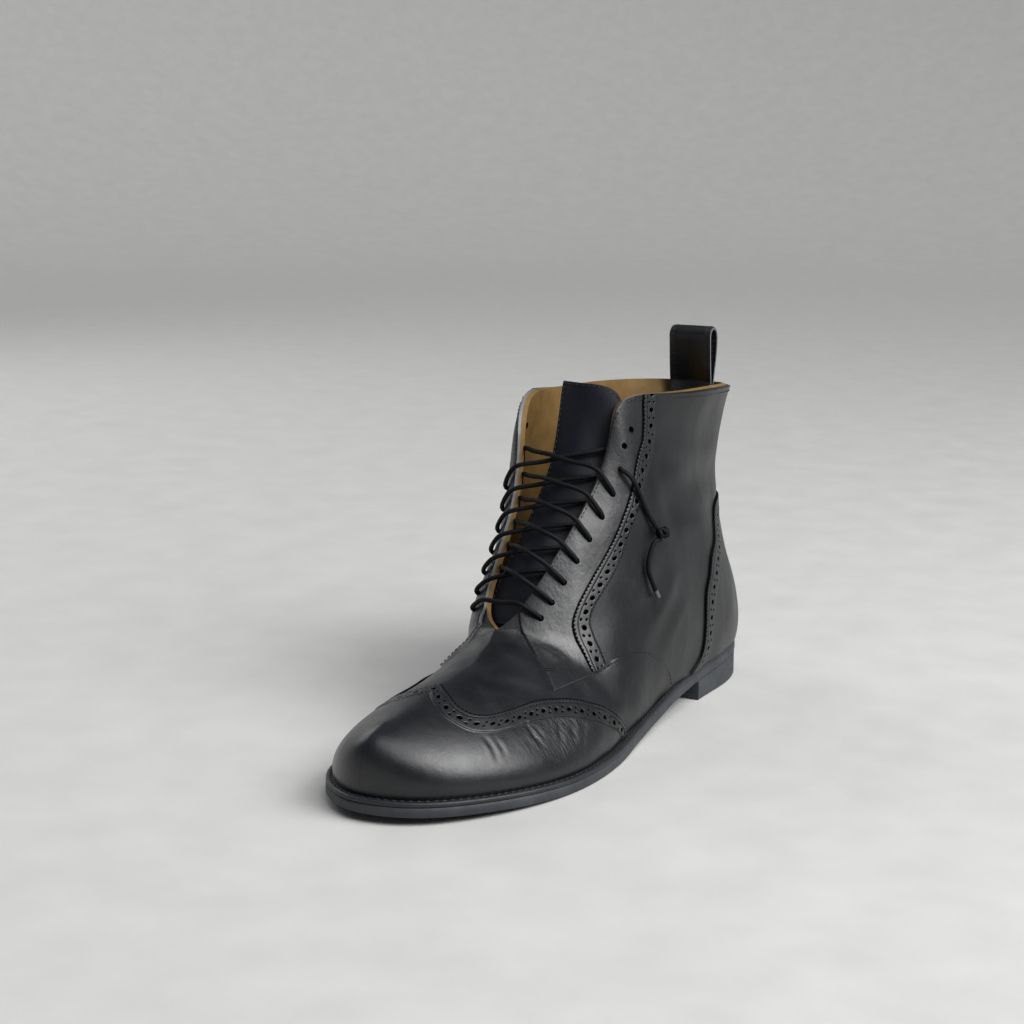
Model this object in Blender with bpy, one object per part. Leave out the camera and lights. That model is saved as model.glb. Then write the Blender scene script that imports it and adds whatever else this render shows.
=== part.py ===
"""Left brogue boot: derby lacing with ten punched eyelets, wing cap, low heel and a pull loop.

The toe points to -Y, the wearer's left is +X, and the boot stands on Z = 0. Each side of the upper is
a family of ribs: a rib starts on the feather line, where upper meets sole, and ends on the top line,
which is the ridge over the vamp, then the edge of the throat, then the collar. A place on the upper is
given by s, the share of the way from toe to heel, and v, the share of the way up its rib.
"""

import math

import bmesh
import bpy
import numpy as np
from mathutils import Vector

# Driving dimensions, in metres
LENGTH = 0.302
BALL_WIDTH = 0.108
HEEL_WIDTH = 0.074
COLLAR_WIDTH = 0.070
COLLAR_RISE = 0.127
SOLE_THICKNESS = 0.0066
WELT_THICKNESS = 0.0018
HEEL_HEIGHT = 0.0142
HEEL_LENGTH = 0.076
TOE_SPRING = 0.0037
WELT_WIDTH = 0.0042
HEEL_SEAT_STEP = 0.0012
INSOLE_THICKNESS = 0.0025
WALL = 0.0020
UPPER_DEPTH = 0.0016
TONGUE_THICKNESS = 0.0018
EYELET_DIAMETER = 0.0032
LACE_DIAMETER = 0.0026
LOOP_WIDTH = 0.023
LOOP_THICKNESS = 0.0020
LOOP_RISE = 0.0275
GAP = 0.0003
LAYER_GAP = 0.0008
PANEL_GAP = 0.0009

# Middle of the whole boot, from the middle of the ball and from the heel's back
CENTRE_SIDE = 0.0003
CENTRE_ALONG = 0.1499

LATERAL, MEDIAL = 1, -1

# Share of the length from the heel, and the shares of heel height and toe spring under the sole there
SOLE_PROFILE = np.array([
    # along, heel, toe
    (0.00, 1.00, 0.00),
    (0.25, 0.70, 0.00),
    (0.34, 0.56, 0.00),
    (0.43, 0.32, 0.00),
    (0.53, 0.10, 0.00),
    (0.61, 0.00, 0.00),
    (0.73, 0.00, 0.00),
    (0.82, 0.00, 0.30),
    (0.90, 0.00, 0.65),
    (1.00, 0.00, 1.00),
])

# One row for each rib, from toe to heel. foot_along and top_along are shares of LENGTH; foot_side and
# the two outs are shares of half BALL_WIDTH, top_side of half COLLAR_WIDTH, and the heights of COLLAR_RISE.
FOOT_ALONG, FOOT_SIDE, TOP_ALONG, TOP_SIDE, TOP_UP, LOW_OUT, LOW_UP, HIGH_OUT, HIGH_DROP = range(9)
RIBS = {
    LATERAL: np.array([
        (1.000, -0.16, 0.939, -0.20, 0.212, 0.04, 0.11, 0.27, 0.00),
        (0.979, 0.27, 0.916, -0.16, 0.225, 0.06, 0.11, 0.28, 0.00),
        (0.910, 0.63, 0.860, -0.12, 0.262, 0.06, 0.10, 0.33, 0.00),
        (0.801, 0.89, 0.779, -0.10, 0.302, 0.05, 0.11, 0.37, 0.01),
        (0.685, 0.97, 0.695, -0.17, 0.338, 0.05, 0.12, 0.43, 0.02),
        (0.581, 0.91, 0.634, -0.28, 0.388, 0.05, 0.14, 0.53, 0.06),
        (0.512, 0.84, 0.604, -0.07, 0.452, 0.06, 0.17, 0.47, 0.10),
        (0.420, 0.77, 0.525, 0.19, 0.658, 0.08, 0.22, 0.35, 0.15),
        (0.304, 0.71, 0.432, 0.36, 0.922, 0.11, 0.28, 0.33, 0.20),
        (0.209, 0.68, 0.397, 0.43, 1.098, 0.14, 0.32, 0.20, 0.27),
        (0.119, 0.65, 0.300, 0.74, 1.088, 0.15, 0.33, -0.09, 0.34),
        (0.036, 0.46, 0.151, 0.87, 1.050, 0.14, 0.32, -0.41, 0.40),
        (0.0098, 0.256, 0.049, 0.61, 1.018, 0.145, 0.325, -0.40, 0.41),
        (0.000, 0.00, 0.008, 0.00, 1.002, 0.15, 0.33, -0.30, 0.42),
    ]),
    MEDIAL: np.array([
        (1.000, -0.16, 0.939, -0.20, 0.212, 0.04, 0.11, 0.27, 0.00),
        (0.967, -0.56, 0.916, -0.16, 0.225, 0.06, 0.11, 0.27, 0.00),
        (0.889, -0.84, 0.860, -0.12, 0.262, 0.05, 0.10, 0.32, 0.00),
        (0.776, -0.96, 0.779, -0.10, 0.302, 0.05, 0.10, 0.37, 0.01),
        (0.663, -0.91, 0.695, -0.17, 0.338, 0.05, 0.12, 0.43, 0.02),
        (0.566, -0.74, 0.634, -0.28, 0.388, 0.05, 0.14, 0.53, 0.05),
        (0.499, -0.62, 0.600, -0.62, 0.444, 0.06, 0.17, 0.47, 0.10),
        (0.409, -0.56, 0.529, -0.71, 0.652, 0.08, 0.22, 0.34, 0.15),
        (0.296, -0.60, 0.456, -0.86, 0.916, 0.11, 0.28, 0.31, 0.20),
        (0.205, -0.66, 0.405, -1.04, 1.088, 0.14, 0.32, 0.19, 0.27),
        (0.114, -0.65, 0.302, -1.12, 1.078, 0.15, 0.33, -0.07, 0.34),
        (0.034, -0.46, 0.147, -0.95, 1.040, 0.14, 0.32, -0.40, 0.40),
        (0.0092, -0.256, 0.049, -0.65, 1.014, 0.145, 0.325, -0.40, 0.41),
        (0.000, 0.00, 0.008, 0.00, 1.002, 0.15, 0.33, -0.30, 0.42),
    ]),
}
THROAT_ROW = 5

# Panels: each row joins a front point to a back point, as front s, front v, back s, back v
WING_CAP = np.array([
    (0.0, 0.00, 0.470, 0.00),
    (0.0, 0.10, 0.462, 0.10),
    (0.0, 0.20, 0.450, 0.19),
    (0.0, 0.30, 0.432, 0.29),
    (0.0, 0.40, 0.398, 0.395),
    (0.0, 0.49, 0.355, 0.49),
    (0.0, 0.56, 0.307, 0.55),
    (0.0, 0.62, 0.255, 0.575),
    (0.0, 0.68, 0.220, 0.605),
    (0.0, 0.76, 0.197, 0.67),
    (0.0, 0.84, 0.188, 0.77),
    (0.0, 0.92, 0.193, 0.87),
    (0.0, 1.00, 0.205, 1.00),
])
VAMP = np.array([
    (0.470, 0.00, 0.640, 0.00),
    (0.462, 0.10, 0.634, 0.08),
    (0.450, 0.19, 0.612, 0.19),
    (0.432, 0.29, 0.590, 0.28),
    (0.398, 0.395, 0.562, 0.365),
    (0.355, 0.49, 0.515, 0.465),
    (0.307, 0.55, 0.475, 0.495),
    (0.255, 0.575, 0.420, 0.52),
    (0.220, 0.605, 0.368, 0.545),
    (0.197, 0.67, 0.400, 0.69),
    (0.188, 0.77, 0.436, 0.82),
    (0.193, 0.87, 0.452, 0.91),
    (0.205, 1.00, 0.443, 1.00),
])
EYESTAY = np.array([
    (0.373, 0.548, 0.475, 0.495),
    (0.400, 0.69, 0.500, 0.595),
    (0.440, 0.82, 0.517, 0.685),
    (0.483, 0.945, 0.532, 0.74),
    (0.507, 1.00, 0.555, 0.755),
    (0.550, 1.00, 0.605, 0.76),
    (0.600, 1.00, 0.652, 0.775),
    (0.650, 1.00, 0.700, 0.785),
    (0.700, 1.00, 0.742, 0.79),
    (0.735, 1.00, 0.777, 0.82),
    (0.755, 1.00, 0.797, 0.895),
    (0.768, 1.00, 0.807, 1.00),
])
QUARTER = np.array([
    (0.640, 0.00, 0.700, 0.00),
    (0.634, 0.08, 0.730, 0.055),
    (0.612, 0.19, 0.745, 0.145),
    (0.590, 0.28, 0.758, 0.215),
    (0.562, 0.365, 0.772, 0.27),
    (0.515, 0.465, 0.797, 0.32),
    (0.475, 0.495, 0.825, 0.385),
    (0.500, 0.595, 0.858, 0.435),
    (0.517, 0.685, 0.900, 0.51),
    (0.532, 0.74, 0.950, 0.585),
    (0.543, 0.75, 0.978, 0.597),
    (0.555, 0.755, 1.000, 0.60),
    (0.605, 0.76, 1.000, 0.67),
    (0.652, 0.775, 1.000, 0.74),
    (0.700, 0.785, 1.000, 0.80),
    (0.742, 0.79, 1.000, 0.86),
    (0.777, 0.82, 1.000, 0.91),
    (0.797, 0.895, 1.000, 0.96),
    (0.807, 1.00, 1.000, 1.00),
])
COUNTER = np.array([
    (0.700, 0.00, 1.0, 0.00),
    (0.730, 0.055, 1.0, 0.07),
    (0.745, 0.145, 1.0, 0.15),
    (0.758, 0.215, 1.0, 0.22),
    (0.772, 0.27, 1.0, 0.29),
    (0.797, 0.32, 1.0, 0.35),
    (0.825, 0.385, 1.0, 0.42),
    (0.858, 0.435, 1.0, 0.48),
    (0.900, 0.51, 1.0, 0.54),
    (0.950, 0.585, 1.0, 0.60),
])

# Heights of the outer faces over the last's surface, and the way that a panel keeps to its neighbours
VAMP_TOP = 0.0
VAMP_TAB_TOP = 0.0016
WING_TOP = 0.0008
EYESTAY_TOP = 0.0007
QUARTER_TOP = 0.0011
COUNTER_TOP = 0.0018

# Eyelets from the collar down, as shares along the top line, and their share of the way up the ribs
EYELET_S = (0.765, 0.729, 0.693, 0.661, 0.632, 0.605, 0.580, 0.556, 0.532, 0.508)
EYELET_V = 0.885
BAR_EYELET = 9
LAST_LACED = 2

RIB_STEPS = 33
HEIGHT_STEPS = 9


def spline(knots, values, at, flat_start=False, flat_end=False):
    """Cubic spline through values at the knots; an end is level where it is flat, else it runs out straight."""
    count = len(knots)
    step = np.diff(knots)
    slope = np.diff(values) / step
    matrix = np.zeros((count, count))
    right = np.zeros(count)
    matrix[0, :2] = (1.0, 0.0) if flat_start else (2.0, 1.0)
    right[0] = 0.0 if flat_start else 3.0 * slope[0]
    matrix[-1, -2:] = (0.0, 1.0) if flat_end else (1.0, 2.0)
    right[-1] = 0.0 if flat_end else 3.0 * slope[-1]
    for i in range(1, count - 1):
        matrix[i, i - 1:i + 2] = (step[i], 2.0 * (step[i - 1] + step[i]), step[i - 1])
        right[i] = 3.0 * (step[i] * slope[i - 1] + step[i - 1] * slope[i])
    return hermite(knots, values, np.linalg.solve(matrix, right), at)


def monotone(knots, values, at):
    """Curve through values at the knots that never swings past them."""
    step = np.diff(knots)
    slope = np.diff(values) / step
    tangent = np.zeros(len(knots))
    for i in range(1, len(knots) - 1):
        if slope[i - 1] * slope[i] > 0:
            tangent[i] = 2.0 / (1.0 / slope[i - 1] + 1.0 / slope[i])
    tangent[0] = slope[0]
    tangent[-1] = slope[-1]
    return hermite(knots, values, tangent, np.clip(at, knots[0], knots[-1]))


def hermite(knots, values, tangent, at):
    i = np.clip(np.searchsorted(knots, at, side="right") - 1, 0, len(knots) - 2)
    step = knots[i + 1] - knots[i]
    t = (at - knots[i]) / step
    ends = values[i] * (1 + 2 * t) * (1 - t) ** 2 + values[i + 1] * t * t * (3 - 2 * t)
    return ends + step * (tangent[i] * t * (1 - t) ** 2 - tangent[i + 1] * t * t * (1 - t))


def lift(along):
    """Height of the sole's underside over the floor, heel left out."""
    share = np.clip(np.asarray(along) / LENGTH, 0, 1)
    heel = monotone(SOLE_PROFILE[:, 0], SOLE_PROFILE[:, 1], share)
    toe = monotone(SOLE_PROFILE[:, 0], SOLE_PROFILE[:, 2], share)
    return HEEL_HEIGHT * heel + TOE_SPRING * toe


def rib_knots():
    """Share of the way from toe to heel at each row of the tables, the same on both sides."""
    steps = 0
    for table in RIBS.values():
        across = np.diff(table[:, FOOT_SIDE] * BALL_WIDTH / 2)
        steps = steps + np.hypot(across, np.diff(table[:, FOOT_ALONG] * LENGTH))
    knots = np.concatenate([[0.0], np.cumsum(steps)])
    return knots / knots[-1]


KNOTS = rib_knots()


def outline(side, s, inset=0.0):
    """Edge of the sole moved inwards by inset, with the outward direction there."""
    def edge(at):
        table = RIBS[side]
        heel_share = 1 - np.clip((table[:, FOOT_ALONG] - 0.30) / 0.35, 0, 1)
        heel_scale = HEEL_WIDTH / (0.685 * BALL_WIDTH)
        across = table[:, FOOT_SIDE] * BALL_WIDTH / 2 * (1 + heel_share * (heel_scale - 1))
        return spline(KNOTS, across, at), spline(KNOTS, table[:, FOOT_ALONG] * LENGTH, at, True, True)

    s = np.asarray(s, float)
    x, along = edge(s)
    before = edge(np.clip(s - 1e-4, 0, 1))
    after = edge(np.clip(s + 1e-4, 0, 1))
    run = np.hypot(after[0] - before[0], after[1] - before[1])
    out_x = -(after[1] - before[1]) / run * side
    out_along = (after[0] - before[0]) / run * side
    return x - out_x * inset, along - out_along * inset, out_x, out_along


def ribs(side, s):
    """Foot, lower handle, upper handle and top of the rib at each s, as side, along and up."""
    _, edge_along, _, _ = outline(side, s)
    welt_share = monotone(np.array([0.0, 0.25, 0.42, 1.0]), np.array([0.0, 0.1, 1.0, 1.0]), edge_along / LENGTH)
    inset = HEEL_SEAT_STEP + (WELT_WIDTH - HEEL_SEAT_STEP) * welt_share
    x, along, out_x, out_along = outline(side, s, inset)
    foot = np.stack([x, along, lift(along) + SOLE_THICKNESS + GAP], -1)

    def column(index, flat_end=True):
        return spline(KNOTS, RIBS[side][:, index], s, True, flat_end)

    top = top_line(side, s)
    low = column(LOW_OUT) * BALL_WIDTH / 2
    lower = foot + np.stack([out_x * low, out_along * low, column(LOW_UP) * COLLAR_RISE], -1)
    high = column(HIGH_OUT) * BALL_WIDTH / 2
    upper = top + np.stack([out_x * high, out_along * high, -column(HIGH_DROP) * COLLAR_RISE], -1)
    on_ridge = np.clip((KNOTS[THROAT_ROW] - s) / 0.06, 0, 1)
    upper[:, 2] -= out_along * high * ridge_slope(side, s) * on_ridge
    return foot, lower, upper, top


def top_line(side, s):
    """End of the ribs: the ridge up to the throat, which both sides share, then throat and collar."""
    table = RIBS[side]
    split = THROAT_ROW + 1

    def column(index, flat_end=True):
        ridge = spline(KNOTS[:split], table[:split, index], s, True)
        edge = spline(KNOTS[THROAT_ROW:], table[THROAT_ROW:, index], s, False, flat_end)
        return np.where(s <= KNOTS[THROAT_ROW], ridge, edge)

    along = column(TOP_ALONG) * LENGTH
    up = lift(along) + SOLE_THICKNESS + column(TOP_UP) * COLLAR_RISE
    return np.stack([column(TOP_SIDE, False) * COLLAR_WIDTH / 2, along, up], -1)


def ridge_slope(side, s):
    """Fall of the ridge per metre towards the toe."""
    near = np.clip(s, 0.02, 1.0)
    before = top_line(side, near - 0.01)
    after = top_line(side, near + 0.01)
    run = np.minimum(after[:, 1] - before[:, 1], -1e-5)
    return np.clip((before[:, 2] - after[:, 2]) / run, 0, 1)


def on_last(side, s, v):
    """Point of the last's surface at s and v."""
    s = np.asarray(s, float)
    v = np.asarray(v, float)
    foot, lower, upper, top = (part.reshape(s.shape + (3,)) for part in ribs(side, s.ravel()))
    v = v[..., None]
    point = (1 - v) ** 3 * foot + 3 * (1 - v) ** 2 * v * lower + 3 * (1 - v) * v * v * upper + v ** 3 * top
    return place(point)


def place(point):
    """Side, along and up turned into the object's X, Y and Z."""
    return np.stack([point[..., 0] - CENTRE_SIDE, CENTRE_ALONG - point[..., 1], point[..., 2]], -1)


def normal_on_last(side, s, v):
    """Outward direction of the last's surface, level at the feather line."""
    s = np.clip(s, 0.004, 0.996)
    v_in = np.clip(v, 0.004, 0.996)
    along = on_last(side, s + 0.003, v_in) - on_last(side, s - 0.003, v_in)
    up = on_last(side, s, v_in + 0.003) - on_last(side, s, v_in - 0.003)
    normal = np.cross(along, up) * side
    normal[..., 2] *= np.clip(v / 0.12, 0, 1)
    return normal / np.linalg.norm(normal, axis=-1, keepdims=True)


def raised(side, s, v, height):
    """Point at a height over the last's surface."""
    height = np.broadcast_to(np.asarray(height, float), np.shape(s))
    return on_last(side, s, v) + normal_on_last(side, s, v) * height[..., None]


def grid_faces(rows, columns, start, flip):
    """Quads of a grid of points numbered row by row from start."""
    faces = []
    for i in range(rows - 1):
        for j in range(columns - 1):
            a = start + i * columns + j
            quad = (a, a + 1, a + columns + 1, a + columns)
            faces.append(quad[::-1] if flip else quad)
    return faces


def slab(name, patches, material):
    """Closed solid between the outer and inner faces of patches, which join where their keys meet.

    Each patch is (key points, outer points, inner points, flip), with points in a grid.
    """
    index_of, members, faces = {}, [], []
    for keys, outer, inner, flip in patches:
        rows, columns = keys.shape[:2]
        numbers = []
        for i in range(rows):
            for j in range(columns):
                key = tuple(np.round(keys[i, j] / 2e-5).astype(int))
                number = index_of.setdefault(key, len(index_of))
                if number == len(members):
                    members.append(([], []))
                members[number][0].append(outer[i, j])
                members[number][1].append(inner[i, j])
                numbers.append(number)
        for quad in grid_faces(rows, columns, 0, flip):
            ring = []
            for corner in quad:
                number = numbers[corner]
                if number not in ring:
                    ring.append(number)
            if len(ring) > 2:
                faces.append(tuple(ring))
    outer_points = [np.mean(pair[0], axis=0) for pair in members]
    inner_points = [np.mean(pair[1], axis=0) for pair in members]
    count = len(members)
    used = {}
    for ring in faces:
        for a, b in zip(ring, ring[1:] + ring[:1]):
            used[(a, b)] = True
    rim = [(b, a, a + count, b + count) for a, b in used if (b, a) not in used]
    inner_faces = [tuple(number + count for number in reversed(ring)) for ring in faces]
    return add_mesh(name, outer_points + inner_points, faces + inner_faces + rim, material)


def add_mesh(name, points, faces, material):
    mesh = bpy.data.meshes.new(name)
    mesh.from_pydata([tuple(map(float, point)) for point in points], [], faces)
    work = bmesh.new()
    work.from_mesh(mesh)
    bmesh.ops.recalc_face_normals(work, faces=work.faces)
    work.to_mesh(mesh)
    work.free()
    mesh.shade_smooth()
    mesh.set_sharp_from_angle(angle=math.radians(40))
    obj = bpy.data.objects.new(name, mesh)
    bpy.context.collection.objects.link(obj)
    obj.data.materials.append(material)
    return obj


def make_material(name, colour, roughness):
    material = bpy.data.materials.new(name)
    material.use_nodes = True
    shader = material.node_tree.nodes["Principled BSDF"]
    shader.inputs["Base Color"].default_value = (*colour, 1.0)
    shader.inputs["Roughness"].default_value = roughness
    shader.inputs["Metallic"].default_value = 0.0
    return material


def drawn_in(side, edge, other, distance):
    """Edge of a panel, as rows of s and v, moved over the surface towards its other edge."""
    s, v = edge.T
    step = 0.003
    s_in, v_in = np.clip(s, step, 1 - step), np.clip(v, step, 1 - step)
    per_s = np.linalg.norm(on_last(side, s_in + step, v_in) - on_last(side, s_in - step, v_in), axis=-1) / (2 * step)
    per_v = np.linalg.norm(on_last(side, s_in, v_in + step) - on_last(side, s_in, v_in - step), axis=-1) / (2 * step)
    run = np.stack([np.gradient(s) * per_s, np.gradient(v) * per_v], -1)
    run /= np.linalg.norm(run, axis=1)[:, None]
    turn = np.stack([-run[:, 1], run[:, 0]], -1)
    towards = (other - edge) * np.stack([per_s, per_v], -1)
    turn *= np.sign((turn * towards).sum(1))[:, None] * distance
    moved = edge + turn / np.stack([per_s, per_v], -1)
    ends = (v <= 0) | (v >= 1)
    moved[ends, 0] = s[ends] + np.sign(other[ends, 0] - s[ends]) * distance / LENGTH
    moved[ends, 1] = v[ends]
    return np.clip(moved, 0, 1)


def panel_patch(side, table, columns, low, high, drawn=(True, True), bunch=1.0):
    """Patch of a panel from height low to height high, its columns closer at the back where bunch is over 1."""
    front, back = table[:, :2], table[:, 2:]
    edges = []
    for edge, other, wanted in ((front, back, drawn[0]), (back, front, drawn[1])):
        edges.append(drawn_in(side, edge, other, PANEL_GAP / 2) if wanted else edge)
    share = 1 - (1 - np.linspace(0, 1, columns)[None, :, None]) ** bunch
    points = edges[0][:, None] * (1 - share) + edges[1][:, None] * share
    s, v = points[..., 0], points[..., 1]
    high = high(s, v) if callable(high) else high
    return on_last(side, s, v), raised(side, s, v, high), raised(side, s, v, low), side > 0


def refined(table, factor):
    """Table with factor rows for each of its steps, on a smooth curve through its own rows."""
    knots = np.arange(len(table), dtype=float)
    at = np.linspace(0, len(table) - 1, (len(table) - 1) * factor + 1)
    return np.stack([monotone(knots, table[:, column], at) for column in range(table.shape[1])], 1)


def rib_shares(steps):
    """Shares from toe to heel, closer together where the outline turns and towards the collar's back."""
    even = np.linspace(0, 1, steps + 1)
    bent = even + 0.16 * even * (1 - even)
    return bent - 0.40 / (4 * math.pi) * np.sin(4 * math.pi * even) - 0.25 / (2 * math.pi) * np.sin(2 * math.pi * even)


def make_upper(material):
    """Hollow shell under the panels, open at collar, throat and sole."""
    patches = []
    for side in (LATERAL, MEDIAL):
        shares = rib_shares(RIB_STEPS)
        throat = KNOTS[THROAT_ROW]
        shares[np.argmin(np.abs(shares - throat))] = throat
        s, v = np.meshgrid(shares, np.linspace(0, 1, HEIGHT_STEPS + 1), indexing="ij")
        outer = raised(side, s, v, -UPPER_DEPTH)
        inner = raised(side, s, v, -UPPER_DEPTH - WALL)
        patches.append((on_last(side, s, v), outer, inner, side < 0))
    return slab("upper", patches, material)


def make_panels(leather):
    low = -UPPER_DEPTH + LAYER_GAP

    def vamp_top(s, v):
        tab = np.clip((s - 0.47) / 0.10, 0, 1) * np.clip((0.52 - v) / 0.08, 0, 1)
        return VAMP_TOP + (VAMP_TAB_TOP - VAMP_TOP) * tab

    both = (LATERAL, MEDIAL)
    slab("wing_cap", [panel_patch(side, WING_CAP, 12, low + 0.0004, WING_TOP, (False, True), 0.85) for side in both], leather)
    slab("vamp", [panel_patch(side, VAMP, 8, low + 0.0003, vamp_top) for side in both], leather)
    slab("counter", [panel_patch(side, COUNTER, 11, low + 0.0004, COUNTER_TOP, (True, False), 1.1) for side in both], leather)
    eyestays = []
    for side, word in ((LATERAL, "lateral"), (MEDIAL, "medial")):
        eyestays.append(slab(f"eyestay_{word}", [panel_patch(side, EYESTAY, 4, low, EYESTAY_TOP, (True, True))], leather))
        slab(f"quarter_{word}", [panel_patch(side, QUARTER, 12, low + 0.0007, QUARTER_TOP, (True, True), 1.6)], leather)
    return eyestays


def eyelet(side, number):
    """Centre of an eyelet on the last's surface, and the outward direction."""
    s = np.array(EYELET_S[number])
    v = np.array(EYELET_V)
    return Vector(on_last(side, s, v)), Vector(normal_on_last(side, s, v))


def punch_eyelets(upper, eyestays):
    for side, eyestay in zip((LATERAL, MEDIAL), eyestays):
        for number in range(len(EYELET_S)):
            centre, direction = eyelet(side, number)
            bpy.ops.mesh.primitive_cylinder_add(vertices=6, radius=EYELET_DIAMETER / 2, depth=0.014, location=centre)
            cutter = bpy.context.active_object
            cutter.rotation_mode = "QUATERNION"
            cutter.rotation_quaternion = direction.to_track_quat("Z", "Y")
            cutter.hide_render = True
            cutter.display_type = "WIRE"
            for target in (upper, eyestay):
                cut = target.modifiers.new("eyelet", "BOOLEAN")
                cut.operation = "DIFFERENCE"
                cut.object = cutter


def plate(name, inset, low, high, steps, material, start=0.0, end=1.0, across=3):
    """Solid that follows the sole's outline between the heights low and high, given as functions of along."""
    shares = start + (end - start) * rib_shares(steps)
    edges = []
    for side in (LATERAL, MEDIAL):
        x, along, _, _ = outline(side, shares, inset)
        edges.append(np.stack([x, along], -1))
    blend = np.linspace(0, 1, across)[None, :, None]
    points = edges[0][:, None] * (1 - blend) + edges[1][:, None] * blend
    bottom = place(np.concatenate([points, low(points[..., 1])[..., None]], -1))
    top = place(np.concatenate([points, high(points[..., 1])[..., None]], -1))
    return slab(name, [(top, top, bottom, False)], material)


def share_at(side, along):
    """Share s at which the sole's outline reaches a distance from the heel's back."""
    s = np.linspace(0.3, 1.0, 400)
    return float(np.interp(-along, -outline(side, s)[1], s))


def make_sole(rubber, dark_rubber, leather):
    top = SOLE_THICKNESS
    outsole_top = top - WELT_THICKNESS - GAP
    plate("outsole", 0.0, lift, lambda along: lift(along) + outsole_top, 28, rubber)
    plate("welt", 0.0004, lambda along: lift(along) + outsole_top + GAP, lambda along: lift(along) + top, 28, dark_rubber)
    wall = max(WELT_WIDTH, HEEL_SEAT_STEP) + UPPER_DEPTH + WALL + 2 * GAP
    insole_low = top + GAP
    plate(
        "insole", wall, lambda along: lift(along) + insole_low,
        lambda along: lift(along) + insole_low + INSOLE_THICKNESS, 22, leather,
    )
    make_heel(rubber)


def make_heel(rubber):
    """Block under the sole, with a straight breast."""
    steps = 12
    edges = []
    for side in (LATERAL, MEDIAL):
        shares = np.linspace(share_at(side, HEEL_LENGTH), 1.0, steps + 1)
        shares = shares[0] + (1 - shares[0]) * np.sin(np.linspace(0, math.pi / 2, steps + 1)) ** 0.8
        x, along, _, _ = outline(side, shares, 0.0003)
        edges.append(np.stack([x, along], -1))
    blend = np.linspace(0, 1, 3)[None, :, None]
    points = edges[0][:, None] * (1 - blend) + edges[1][:, None] * blend
    bottom = place(np.concatenate([points, np.zeros(points.shape[:2] + (1,))], -1))
    top = place(np.concatenate([points, (lift(points[..., 1]) - GAP)[..., None]], -1))
    slab("heel", [(top, top, bottom, False)], rubber)


def smooth_route(points, count):
    """Points spaced along a smooth curve through the route."""
    points = np.array(points, float)
    run = np.concatenate([[0.0], np.cumsum(np.linalg.norm(np.diff(points, axis=0), axis=1))])
    at = np.linspace(0, run[-1], count)
    return np.stack([spline(run, points[:, axis], at) for axis in range(3)], -1)


# Tongue, a row for each place from its root to its top. share is how far its free edge stands out from the
# medial facing's edge over the throat's gap, or behind that facing where it is under 0.
TONGUE = np.array([
    # s, share, crown in metres, rise in metres
    (0.475, -0.08, 0.0004, 0.0000),
    (0.530, -0.06, 0.0012, 0.0000),
    (0.580, 0.06, 0.0018, 0.0000),
    (0.630, 0.18, 0.0024, 0.0000),
    (0.680, 0.28, 0.0028, 0.0000),
    (0.730, 0.33, 0.0030, 0.0010),
    (0.765, 0.36, 0.0030, 0.0070),
])
TONGUE_CLEAR = 0.0009


def throat_normal(s):
    """Direction out of the boot over the throat at s."""
    outward = sum(normal_on_last(side, np.array(s), np.array(0.98)) for side in (LATERAL, MEDIAL))
    return outward / np.linalg.norm(outward)


def make_tongue(leather):
    """Curved plate behind the throat, tucked under the lateral facing, from the vamp to over the collar."""
    table = refined(TONGUE, 2)
    depth = -(UPPER_DEPTH + WALL + TONGUE_CLEAR)
    sections = []
    for s, share, crown, rise in table:
        edges = [raised(side, np.array(s), np.array(1.0), depth) for side in (MEDIAL, LATERAL)]
        free = raised(MEDIAL, np.array(s), np.array(1 + min(share, 0)), depth) + (edges[1] - edges[0]) * max(share, 0)
        tucked = raised(LATERAL, np.array(s), np.array(0.87), depth - 0.0006)
        middle = (free + edges[1]) / 2 + throat_normal(s) * crown
        under = edges[1] - throat_normal(s) * 0.0014
        section = smooth_route([free, middle, under, tucked], 9)
        section[:, 2] += rise * np.linspace(1.0, 0.3, 9)
        sections.append(section)
    outer = np.array(sections)
    along = np.gradient(outer, axis=0)
    sideways = np.gradient(outer, axis=1)
    normal = np.cross(sideways, along)
    normal /= np.linalg.norm(normal, axis=-1, keepdims=True)
    normal *= np.sign(-normal[..., 1:2].mean())
    return slab("tongue", [(outer, outer, outer - normal * TONGUE_THICKNESS, False)], leather)


# Fold of the pull loop from one end to the other, as forward and up in shares of LOOP_RISE from the collar's back
PULL_LOOP = np.array([
    # forward, up
    (0.00, -0.50),
    (0.00, 0.00),
    (-0.03, 0.40),
    (-0.02, 0.75),
    (0.02, 0.93),
    (0.11, 1.00),
    (0.21, 0.98),
    (0.28, 0.88),
    (0.26, 0.70),
    (0.20, 0.40),
    (0.13, 0.10),
    (0.10, -0.06),
    (0.10, -0.50),
])


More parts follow.
